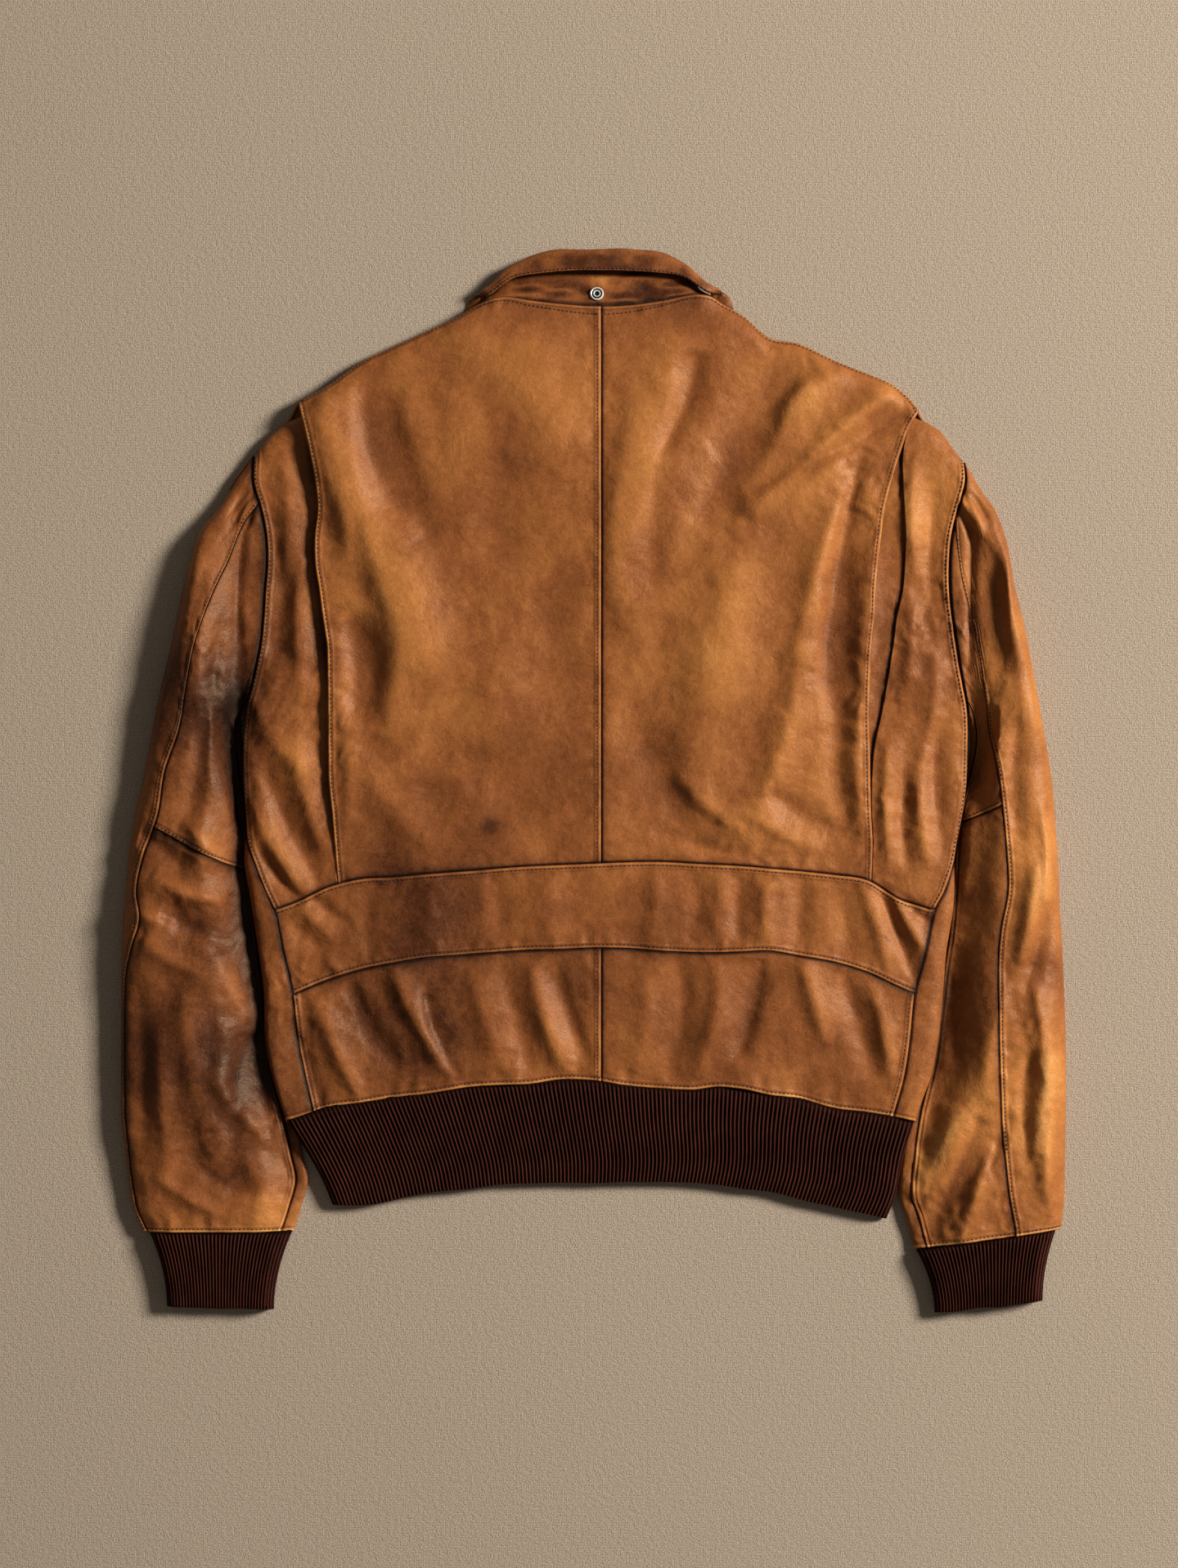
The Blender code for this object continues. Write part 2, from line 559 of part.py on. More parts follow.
def front_top(x):
    """Upper edge of a front: the neckline, then the shoulder, then its drop to the armhole."""
    if abs(x - ZIP) < 86:
        return NECKLINE.at("low", abs(x - ZIP))
    inner, outer = (218, 228) if x < 0 else (236, 244)
    share = ease((abs(x) - inner) / (outer - inner))
    notch = NECK_NOTCH * exp(-((abs(x - ZIP) - 91) / 9) ** 2)
    return mix(ACROSS.at("top", x), SIDE_TOP.at("top", x), share) - notch


def front_place(sign, u, v):
    """Outer surface of a front: u runs from its side seam, over the side and under, to the zip."""
    side, seam = ("side_left", "seam_left") if sign < 0 else ("side_right", "seam_right")
    x, past = sign * mix(230, 10, u), 0
    for _ in range(5):
        low = mix(front_hem(x), ACROSS.at("hem_seam", x), ease(past / 4))
        y = mix(low + 0.8 * CURVED_GAP, front_top(x) - RIM_GAP, v)
        edge = TORSO.at(side, y)
        over = abs(edge - TORSO.at(seam, y))
        end = SIDE_ARC * acos(1 - min(over / SIDE_ROLL, 1)) / (pi / 2) + max(over - SIDE_ROLL, 0)
        end -= mix(WRAP_GAP, SIDE_SEAM_GAP, ease(over / 4))
        under = UNDER_ARC + abs(edge - ZIP) - UNDER_ROLL - ZIP_HALF_GAP
        past = mix(end, -under, u)
        arc, radius = (SIDE_ARC, SIDE_ROLL) if past > 0 else (UNDER_ARC, UNDER_ROLL)
        turn = min(abs(past) / arc, 1) * pi / 2
        x = edge - sign * (radius * (1 - cos(turn)) + max(abs(past) - arc, 0))
    if past > 0:
        return x, y, below_height(x, y)
    low = under_height(x, y)
    shoulder = (SHOULDER_EDGE - 1.1 - low) * (1 - roll(0.85 * (front_top(x) - y), 6)) * (1 - neck_share(x))
    return x, y, low + max((SIDE_EDGE - low) * below_crossing(y) * (1 - sin(turn)), shoulder)


def fronts():
    reaches = [0, 0.03, 0.06, 0.09, 0.13, 0.18, 0.28, 0.48, 0.6, 0.665, 0.71, 0.76, 0.82, 0.88, 0.94, 1]
    rows = [0, 0.07, 0.14, 0.21, 0.28, 0.345, 0.39, 0.43, 0.48, 0.58, 0.69, 0.8, 0.91, 1]
    for name, sign in (("front_left", -1), ("front_right", 1)):
        def surface(u, v):
            return front_place(sign, min(max(u, 0), 1), min(max(v, 0), 1))

        def place(u, v):
            spot = Vector(surface(u, v))
            return spot, spot - LEATHER * sign * facing(surface, u, v)

        finish(name, grid(reaches, rows, place), "leather")


# Sleeves: rings from the armhole to the cuff, each a flattened loop between an inner and an outer end

ARMHOLE_GAP = 1.3     # between a sleeve and the body, where both are curved
TUBE_STEP = 0.006     # share of half a ring kept free beside a seam that runs down a sleeve
RIM_DEPTH = 3.1       # a sleeve's two walls open this far above and below its inner end
RIM_LAP = 0.9         # and the lower one a little more
INNER_ROLL = 4        # radius of a sleeve's inner end
OUTER_ROLL = 26       # radius of its outer side on the top
UNDER_SIDE_ROLL = 7   # and underneath
LIFT_LENGTH = 34      # the top rises to its crown over this much
TUCKED = 12           # but only this far in, where the body lies on it
TUCKED_RIM, TUCKED_FADE = 3.2, 1.8
FOLD_FADE = 14        # folds fade out this near a sleeve's sides


def across_ring(size, along, side):
    """The point this far along a ring's line, 0 at its inner end and 1 at its outer end."""
    reach_x, reach_y = size["outer_x"] - size["inner_x"], size["outer_y"] - size["inner_y"]
    length = hypot(reach_x, reach_y)
    bow = size["bow"] * 6.75 * along * (1 - along) ** 2 * -side
    x = size["inner_x"] + reach_x * along + bow * reach_y / length
    y = size["inner_y"] + reach_y * along - bow * reach_x / length
    if size["armhole"] > 0:
        column = "side_left" if side < 0 else "side_right"
        low, high = TORSO.at(column, CROSSING), TORSO.at(column, ARMHOLE_TOP)
        chord = mix(low, high, (y - CROSSING) / (ARMHOLE_TOP - CROSSING))
        x += size["armhole"] * (TORSO.at(column, y) - chord)
    return x + ARMHOLE_GAP * side, y, length


def sleeve_place(table, side, round_it, ring):
    """Outer surface of a sleeve: round_it 0 to 1 over the top, inner end to outer, 1 to 2 back below."""
    size = table.row(ring)
    below = 1 < round_it <= 2
    along = (1 - cos(pi * round_it)) / 2
    x, y, length = across_ring(size, along, side)
    inward, outward = along * length, (1 - along) * length
    low = size["rim_in"] + RIM_DEPTH
    if below:
        z = max(size["rim_in"] - RIM_DEPTH - RIM_LAP, 0) * (1 - ease(inward / 40))
        z = mix(size["rim_in"], z, roll(inward, INNER_ROLL))
        return x, y, mix(size["rim_out"], z, roll(outward, UNDER_SIDE_ROLL))
    tuck = TUCKED * (1 - ease((size["rim_in"] - TUCKED_RIM) / TUCKED_FADE))
    lift = (size["crown"] - low) * ease((inward - tuck) / LIFT_LENGTH)
    z = mix(size["rim_in"], low, roll(inward, INNER_ROLL)) + lift
    z = mix(size["rim_out"], z, roll(outward, OUTER_ROLL))
    if size["armhole"] > 0:
        z = mix(z, side_height(*across_ring(table.row(0), along, side)[:2]), size["armhole"])
    rise = folds(x, y) * roll(min(inward, outward), FOLD_FADE)
    return x, y, z + rise * (1 - size["armhole"] ** 4)


def elbow_round(table, elbow, side, ring):
    """How far over the top of a ring the elbow seam crosses it, as a share of half a turn."""
    size = table.row(ring)
    near, far = 0, 1
    for _ in range(14):
        middle = (near + far) / 2
        x, y, _length = across_ring(size, middle, side)
        if side * (x - elbow.at("seam", y)) < 0:
            near = middle
        else:
            far = middle
    return acos(1 - 2 * near) / pi


INNER_SEAM = 9        # distance of the sleeve's inner seam from its inner end, on the top


def inner_round(table, ring):
    """How far over the top the inner seam lies, which keeps its distance from the ring's inner end."""
    size = table.row(ring)
    length = hypot(size["outer_x"] - size["inner_x"], size["outer_y"] - size["inner_y"])
    return acos(1 - 2 * INNER_SEAM / length) / pi


def sleeves():
    for word, table, elbow, side, cross in (
        ("left", LEFT_SLEEVE, LEFT_ELBOW, -1, LEFT_CROSS_RING),
        ("right", RIGHT_SLEEVE, RIGHT_ELBOW, 1, RIGHT_CROSS_RING),
    ):
        last = len(table.rows) - 1

        def wall(name, across, rings, spread):
            def surface(u, v):
                ring = min(max(v, 0), last)
                return sleeve_place(table, side, spread(u, ring) % 2, ring)

            def place(u, v):
                spot = Vector(surface(u, v))
                return spot, spot + LEATHER * side * facing(surface, u, v, 0.01, 0.3)

            finish(name, grid(across, rings, place), "leather")

        def over_and_under(u, ring):
            start = elbow_round(table, elbow, side, ring) + TUBE_STEP
            end = inner_round(table, ring) - 3 * TUBE_STEP
            return mix(start, 1, u) if u < 1 else u if u <= 2 else mix(2, 2 + end, u - 2)

        def between(u, ring):
            start = inner_round(table, ring) + TUBE_STEP
            return mix(start, elbow_round(table, elbow, side, ring) - TUBE_STEP, u)

        sides = [0, 0.45, 1, 1.15, 1.65, 1.9, 2, 2.5, 3]
        wall(f"sleeve_top_{word}", sides, list(range(last + 1)), over_and_under)
        upper = list(range(cross)) + [cross - 0.012]
        lower = [cross + 0.012] + list(range(cross + 1, last + 1))
        wall(f"sleeve_under_upper_{word}", steps(6), upper, between)
        wall(f"sleeve_under_lower_{word}", steps(6), lower, between)


def tube(name, rows, corners, crowns, rims, side, drop, span=None, turn_of=lambda u, v: u):
    """A knitted band: a flattened loop at each row, its ends at corners(v) and its height crowns(v)."""
    def surface(u, v):
        v = min(max(v, 0), 1)
        turn = turn_of(u, v) % 2
        (outer_x, outer_y), (inner_x, inner_y) = corners(v)
        along = (1 - cos(pi * turn)) / 2
        x, y = mix(inner_x, outer_x, along), mix(inner_y, outer_y, along)
        length = hypot(outer_x - inner_x, outer_y - inner_y)
        edge = min(along, 1 - along) * length
        y = drop(x, y, along, v, turn)
        rim = rims(y)
        if turn > 1:
            floor = (rim - KNIT - 0.9) * (1 - ease((edge - 14) / 26)) if rim > 8 else 0
            floor = max(floor, over_zip(x) if span else 0)
            return x, y, mix(rim, floor, roll(edge, 7))
        return x, y, mix(rim, max(crowns(v), rim + KNIT + 0.9), roll(edge, 12))

    def place(u, v):
        spot = Vector(surface(u, v))
        return spot, spot + KNIT * side * facing(surface, u, v, 0.01)

    return finish(name, grid(span or steps(16, 0, 2), rows, place), "knit", wrap=not span)


CUFF_CROWNS, CUFF_RIM = (15.4, 13.2), 6.2  # heights of a cuff's top at its two ends, and of its sides
HEM_CROWNS = (14.4, 9.8)                   # and of the hem's top


def cuffs():
    for word, number, side in (("left", 0, -1), ("right", 1, 1)):
        size = {name: CUFFS.at(name, number) for name in CUFFS.columns}

        def corners(v):
            return [(mix(size[f"{end}_x"], size[f"end_{end}_x"], v),
                     mix(size[f"{end}_y"], size[f"end_{end}_y"], v)) for end in ("outer", "inner")]

        tube(f"cuff_{word}", steps(3), corners, lambda v: mix(*CUFF_CROWNS, v), lambda y: CUFF_RIM, side,
             lambda x, y, along, v, turn: y)


def hem():
    def corners(v):
        side = {name: RIB_SIDES.at(name, v) for name in RIB_SIDES.columns}
        return (side["right_x"], side["right_y"]), (side["left_x"], side["left_y"])

    def drop(x, y, along, v, turn):
        (top_right, _), (top_left, _) = corners(0)
        (low_right, _), (low_left, _) = corners(1)
        start = ACROSS.at("hem_seam", mix(top_left, top_right, along))
        if turn > 1:
            start = front_hem(x)
        end = ACROSS.at("rib_edge", mix(low_left, low_right, along))
        return mix(start - CURVED_GAP - 1.2 * (2 * along - 1) ** 6, end, v)

    def rims(y):
        return 4 + (SIDE_EDGE - 3.2) * (1 - ease((-262 - y) / 32))

    def turn_of(u, v):
        """0 to 1 runs from the zip to the left side, 1 to 2 over the back, 2 to 3 back to the zip."""
        (right, _), (left, _) = corners(v)
        start, end = (2 - acos(1 - 2 * (ZIP + gap - left) / (right - left)) / pi
                      for gap in (-ZIP_HALF_GAP, ZIP_HALF_GAP))
        return mix(start, 2, u) if u < 1 else u + 1 if u <= 2 else mix(3, 2 + end, u - 2)

    under = [0, 0.12, 0.3, 0.6, 0.8, 0.9]
    span = under + [1 + t for t in steps(22)] + [3 - t for t in reversed(under)]
    tube("hem_rib", steps(3), corners, lambda v: mix(*HEM_CROWNS, v), rims, 1, drop, span, turn_of)


# Collar: a stand from the neck seam to the fold, and a leaf from the fold back to its free edge

def collar_station(place):
    size = {name: COLLAR.at(name, place) for name in COLLAR.columns if name != "station"}
    seam = Vector((size["seam_x"], size["seam_y"], size["seam_z"]))
    fold = Vector((size["fold_x"], size["fold_y"], size["fold_z"]))
    edge = Vector((size["edge_x"], size["edge_y"], size["edge_z"]))
    rise = (fold - seam).normalized()
    tilt = radians(size["tilt"])
    out = Vector(((1 if seam.x > 3 else -1) * cos(tilt), 0, sin(tilt)))
    out = (out - rise * out.dot(rise)).normalized()
    return seam, fold - rise * size["roll"], edge, rise, out, size["roll"]


STAND_END = radians(-60)  # the stand meets the leaf at this turn round the fold
STAND_SHIFT = 2.0         # and stays this far back from it


def collar():
    last = len(COLLAR.rows) - 1
    stations = list(range(last + 1))

    def round_fold(centre, rise, out, radius, angle):
        return centre + radius * (cos(angle) * rise + sin(angle) * out)

    def stand(u, v):
        seam, centre, _, rise, out, radius = collar_station(u)
        shift = STAND_SHIFT * (sin(STAND_END) * rise - cos(STAND_END) * out)
        outside = round_fold(centre, rise, out, radius - LEATHER, STAND_END) + shift
        inside = round_fold(centre, rise, out, radius, STAND_END) + shift
        start = seam + 0.4 * rise
        return start.lerp(outside, v), (start - LEATHER * out).lerp(inside, v)

    def leaf(u, v):
        _, centre, edge, rise, out, radius = collar_station(u)
        if v <= 1:
            angle = mix(STAND_END, pi / 2, v)
            return round_fold(centre, rise, out, radius, angle), \
                round_fold(centre, rise, out, radius - LEATHER, angle)
        start = centre + radius * out
        run = (edge - start).normalized()
        thick = (out - run * out.dot(run)).normalized()
        spot = start.lerp(edge, v - 1)
        return spot, spot - LEATHER * out.lerp(thick, min(2 * (v - 1), 1)).normalized()

    finish("collar_stand", grid(stations, [0, 0.5, 1], stand), "leather")
    finish("collar_leaf", grid(stations, [0, 0.3, 0.6, 1, 1.5, 2], leaf), "leather")

    seam, centre, _, rise, out, radius = collar_station(9.8)
    middle = seam.lerp(round_fold(centre, rise, out, radius - LEATHER, STAND_END), 0.23)
    snap = bmesh.new()
    bmesh.ops.create_cone(snap, cap_ends=True, segments=20, radius1=5, radius2=4.2, depth=1.6)
    tilt = out.to_track_quat("Z", "Y").to_matrix().to_4x4()
    snap.transform(Matrix.Translation(middle + 1.5 * out) @ tilt)
    add("collar_snap", snap, "nickel")


# Front closure, on the underside

CHAIN_LOW, CHAIN_HIGH = 2.2, 5.1
ZIP_BOTTOM, ZIP_TOP = -293, 282
HINGE = Vector((ZIP, 270, 1.0))
TAB_NECK, TAB_HALF, TAB_LENGTH, TAB_WALL = 1.8, 3.2, 26, 1.0


def block(name, low, high, finish_name):
    shape = bmesh.new()
    bmesh.ops.create_cube(shape, size=1)
    size = [b - a for a, b in zip(low, high)]
    middle = [(a + b) / 2 for a, b in zip(low, high)]
    shape.transform(Matrix.Translation(middle) @ Matrix.Diagonal((*size, 1)))
    return add(name, shape, finish_name)


def plate(across, up, low, high):
    """A slab with its plan cut at the given X and Y lines."""
    shape = bmesh.new()
    bmesh.ops.create_grid(shape, x_segments=len(across) - 1, y_segments=len(up) - 1, size=1)
    shape.verts.ensure_lookup_table()
    for number, vertex in enumerate(shape.verts):
        vertex.co = (across[number % len(across)], up[number // len(across)], low)
    grown = bmesh.ops.extrude_face_region(shape, geom=shape.faces[:], use_keep_orig=True)
    bmesh.ops.translate(shape, vec=(0, 0, high - low),
                        verts=[part for part in grown["geom"] if isinstance(part, bmesh.types.BMVert)])
    bmesh.ops.recalc_face_normals(shape, faces=shape.faces[:])
    return shape


def slider():
    """Its body closes over the chain's end, and two lugs below it carry the pull tab."""
    lug_in, lug_out = TAB_NECK + 0.3, TAB_NECK + 1.3
    across = [ZIP + x for x in (-4, -lug_out, -lug_in, lug_in, lug_out, 4)]
    shape = plate(across, [266.4, HINGE.y - 1.4, HINGE.y + 1.4, 280], 1.9, CHAIN_HIGH)
    lugs = [face for face in shape.faces if face.normal.z < -0.9
            and lug_in < abs(face.calc_center_median().x - ZIP) < lug_out
            and abs(face.calc_center_median().y - HINGE.y) < 1]
    grown = bmesh.ops.extrude_face_region(shape, geom=lugs, use_keep_orig=True)
    bmesh.ops.delete(shape, geom=lugs, context="FACES_ONLY")
    bmesh.ops.translate(shape, vec=(0, 0, 0.5 - 1.9),
                        verts=[part for part in grown["geom"] if isinstance(part, bmesh.types.BMVert)])
    add("zip_slider", shape, "brass")


def pull_tab():
    """Hangs from the slider's lugs towards the hem, turning about its hinge's X axis."""
    half = TAB_WALL / 2
    across = [-TAB_HALF, -TAB_NECK, TAB_NECK, TAB_HALF]
    shape = plate(across, [-TAB_LENGTH, -TAB_LENGTH + 2, -6, -4, half], -half, half)
    for vertex in shape.verts:
        if vertex.co.y > -5:
            vertex.co.x = max(min(vertex.co.x, TAB_NECK), -TAB_NECK)
    bmesh.ops.remove_doubles(shape, verts=shape.verts[:], dist=1e-4)
    tab = add("zip_pull_tab", shape, "brass")
    tab.data.transform(Matrix.Translation((ORIGIN[0] * MM, ORIGIN[1] * MM, 0)))
    tab.location = ((HINGE.x - ORIGIN[0]) * MM, (HINGE.y - ORIGIN[1]) * MM, HINGE.z * MM)


def zip_fastener():
    low, high = CHAIN_HIGH + 0.3, CHAIN_HIGH + 0.3 + TAPE
    block("zip_tape_left", (ZIP - 15, ZIP_BOTTOM, low), (ZIP - SEAM, ZIP_TOP, high), "tape")
    block("zip_tape_right", (ZIP + SEAM, ZIP_BOTTOM, low), (ZIP + 15, ZIP_TOP, high), "tape")
    block("zip_chain", (ZIP - 3, ZIP_BOTTOM, CHAIN_LOW), (ZIP + 3, 266.1, CHAIN_HIGH), "brass")
    slider()
    pull_tab()


def finish_of(name, colour, roughness, metallic):
    material = bpy.data.materials.new(name)
    material.use_nodes = True
    shader = material.node_tree.nodes["Principled BSDF"]
    shader.inputs["Base Color"].default_value = (*colour, 1)
    shader.inputs["Roughness"].default_value = roughness
    shader.inputs["Metallic"].default_value = metallic
    return material


for old in list(bpy.data.objects):
    bpy.data.objects.remove(old)
jacket = bpy.data.collections.new("leather_jacket")
bpy.context.scene.collection.children.link(jacket)
finishes = {
    "leather": finish_of("leather", (0.25, 0.09, 0.026), 0.5, 0),
    "knit": finish_of("knit", (0.035, 0.010, 0.008), 0.9, 0),
    "tape": finish_of("tape", (0.06, 0.028, 0.014), 0.85, 0),
    "brass": finish_of("brass", (0.42, 0.29, 0.12), 0.4, 1),
    "nickel": finish_of("nickel", (0.5, 0.48, 0.45), 0.35, 1),
}
back_panels()
side_panels()
pleats()
belt_and_lower_back()
fronts()
sleeves()
cuffs()
hem()
collar()
zip_fastener()
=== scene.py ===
from math import cos, pi, radians, sin

import bmesh
import bpy
import numpy as np
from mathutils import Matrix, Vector


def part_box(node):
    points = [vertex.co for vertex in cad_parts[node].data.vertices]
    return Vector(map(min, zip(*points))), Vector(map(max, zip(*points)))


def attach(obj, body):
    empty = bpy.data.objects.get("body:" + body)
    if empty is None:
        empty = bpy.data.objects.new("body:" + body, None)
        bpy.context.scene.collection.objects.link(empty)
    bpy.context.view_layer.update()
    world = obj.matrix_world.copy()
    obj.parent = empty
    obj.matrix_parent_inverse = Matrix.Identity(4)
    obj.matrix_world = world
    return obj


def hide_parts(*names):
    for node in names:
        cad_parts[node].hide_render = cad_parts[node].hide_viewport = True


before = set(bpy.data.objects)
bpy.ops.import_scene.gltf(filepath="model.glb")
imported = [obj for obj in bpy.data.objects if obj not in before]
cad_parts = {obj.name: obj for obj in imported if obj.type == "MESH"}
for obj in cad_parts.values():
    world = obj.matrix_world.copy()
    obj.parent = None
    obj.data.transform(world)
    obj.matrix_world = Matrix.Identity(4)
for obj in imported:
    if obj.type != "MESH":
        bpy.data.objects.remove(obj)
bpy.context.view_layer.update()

# Sizes below are millimetres, X across the back, Y up it and Z out of it, with the garment's
# middle at this place. Each piece is moved to the frame's metres when its mesh is made.
mm = 0.001
middle = np.array([-0.8, 0.3, 0.0])


class SizeTable:
    # Rows of sizes under named columns, read smoothly along the first column.
    def __init__(self, columns, *rows):
        self.columns = columns.split()
        self.rows = np.array(sorted(rows), float)

    def at(self, name, where):
        places, sizes = self.rows[:, 0], self.rows[:, self.columns.index(name)]
        last = len(places) - 1
        where = np.clip(where, places[0], places[-1])
        before = np.maximum(np.arange(last + 1) - 1, 0)
        after = np.minimum(np.arange(last + 1) + 1, last)
        slopes = (sizes[after] - sizes[before]) / (places[after] - places[before])
        left = np.clip(np.searchsorted(places, where, side="right") - 1, 0, last - 1)
        span = places[left + 1] - places[left]
        t = (where - places[left]) / span
        lean = span * (slopes[left] * t * (1 - t) ** 2 - slopes[left + 1] * t * t * (1 - t))
        return sizes[left] + (sizes[left + 1] - sizes[left]) * t * t * (3 - 2 * t) + lean

    def all(self, where):
        return {name: self.at(name, where) for name in self.columns[1:]}


def ease(t):
    t = np.clip(t, 0, 1)
    return t * t * (3 - 2 * t)


def mix(start, end, t):
    return start + (end - start) * t


def bell(distance, width):
    return np.exp(-(distance / width) ** 2)


def rounded(distance, radius):  # how far up a rounded rim has risen, 0 to 1
    t = np.clip(distance / radius, 0, 1)
    return np.sqrt(1 - (1 - t) ** 2)


chance = np.random.default_rng(11).random((64, 64)) * 2 - 1


def drift(x, y, size, start=0):  # smooth random heights from -1 to 1, in cells of this size
    across, up = x / size + 7.31 * start, y / size + 3.77 * start
    column, row = np.floor(across).astype(int), np.floor(up).astype(int)
    right, top = ease(across - column), ease(up - row)
    def corner(i, j):
        return chance[(column + i) % 64, (row + j) % 64]
    return mix(mix(corner(0, 0), corner(1, 0), right), mix(corner(0, 1), corner(1, 1), right), top)


torso = SizeTable(
    "y side_left seam_left pleat_left pleat_right fold_right side_right seam_right",
    (280, -252, -252, -218, 244, 236, 271, 271),
    (260, -252, -252, -213, 231, 230, 271, 271),
    (240, -250, -250, -208.5, 223.7, 226, 271, 271),
    (220, -250.2, -250.2, -204.8, 217.5, 226, 271.5, 271.5),
    (200, -244.5, -244.5, -203.2, 212.5, 227, 266, 266),
    (180, -240.8, -240.8, -205.3, 210, 228, 261.5, 261.5),
    (160, -240.2, -240.2, -205, 207.7, 227.6, 259.8, 259.8),
    (140, -241.8, -241.8, -202, 206, 226, 260, 260),
    (120, -243, -243, -199.4, 205.2, 221.5, 262, 262),
    (100, -245, -245, -196.5, 203, 219, 264.8, 264.8),
    (75, -250.2, -250.2, -195.8, 201.8, 215, 269, 269),
    (50, -256.6, -256.6, -195.6, 201.2, 210.5, 273.6, 273.6),
    (25, -258.5, -258.5, -195.4, 201.8, 205, 274.2, 274.2),
    (0, -258.3, -258.3, -195, 202, 203, 273.3, 273.3),
    (-25, -256.4, -256.4, -192.5, 202.8, 203, 270, 270),
    (-45, -256.8, -254.5, -191, 203.8, 204, 266, 266),
    (-60, -257.3, -249.5, -190, 203.6, 203.6, 264.4, 263.4),
    (-80, -254, -241.7, -188, 203, 203, 264.2, 256.5),
    (-95, -251.8, -235, -186, 203, 203, 263.2, 249),
    (-125, -247, -228.7, -186, 203, 203, 258.4, 242.6),
    (-155, -243, -221.8, -186, 203, 203, 256, 234.8),
    (-190, -242.2, -217.9, -186, 203, 203, 252.3, 231),
    (-215, -237.4, -213, -186, 203, 203, 247.6, 227.2),
    (-235, -231.5, -208.5, -186, 203, 203, 240.4, 222),
    (-255, -225, -203.5, -186, 203, 203, 234, 216),
)

acrossBack = SizeTable(
    "x top belt_top belt_bottom hem_seam rib_edge",
    (-240, 263, -96, -165, -251, -318),
    (-218, 279.5, -88, -154.5, -247, -317),
    (-196, 292, -77.5, -145.5, -239.5, -312),
    (-172, 309, -71.5, -138, -236, -312),
    (-148, 320.5, -70, -133, -232.3, -307.8),
    (-124, 331.5, -67.8, -129.2, -229.5, -303.5),
    (-100, 343, -66, -127.4, -225.5, -300.5),
    (-86, 351, -65, -126.2, -223.8, -298.6),
    (-67, 355.8, -63.3, -124.8, -222.8, -296.8),
    (-48, 353.2, -62, -123.6, -222.2, -295.7),
    (-25, 350.6, -61, -123, -218.9, -295),
    (0, 348.8, -60, -122, -219.6, -295),
    (23, 349.4, -59, -122.4, -223.4, -295),
    (50, 353, -58.8, -124.4, -225.6, -294.6),
    (72, 357.4, -60, -125.4, -226.4, -294.8),
    (86, 356.2, -60.7, -125.5, -224.6, -295.5),
    (93, 352, -61, -125.4, -224.3, -296.2),
    (110, 342.2, -62, -124.7, -226, -299),
    (128, 326.8, -63.6, -124.2, -230.2, -302),
    (150, 322.4, -65.6, -127.8, -233, -306.6),
    (176, 310, -68.4, -132.6, -240.2, -313.5),
    (200, 300.5, -72.3, -140, -243, -318.4),
    (222, 290, -85.6, -150.2, -246.8, -323),
    (245, 268, -93.5, -160, -252, -324),
)

sideTop = SizeTable(
    "x top",
    (-253, 236), (-250, 240), (-242, 251.6), (-234, 259), (-227, 264), (-219, 267.5), (-200, 275),
    (215, 276), (230, 270), (241, 265.6), (247, 262.6), (255, 257), (261, 249), (266.6, 241), (272, 234),
)

neckline = SizeTable("x low", (0, 283), (22, 284.5), (42, 291), (60, 304), (74, 323), (83, 342), (90, 353))

heights = SizeTable(
    "y middle side",
    (360, 15.5, 11),
    (320, 18.5, 12),
    (250, 20.5, 13.5),
    (180, 21, 14),
    (100, 20.5, 14.2),
    (20, 19.5, 14.6),
    (-40, 18.5, 15),
    (-95, 18, 15.6),
    (-160, 17, 15.2),
    (-220, 15, 14.4),
    (-250, 14, 14),
    (-320, 9.6, 9.4),
)

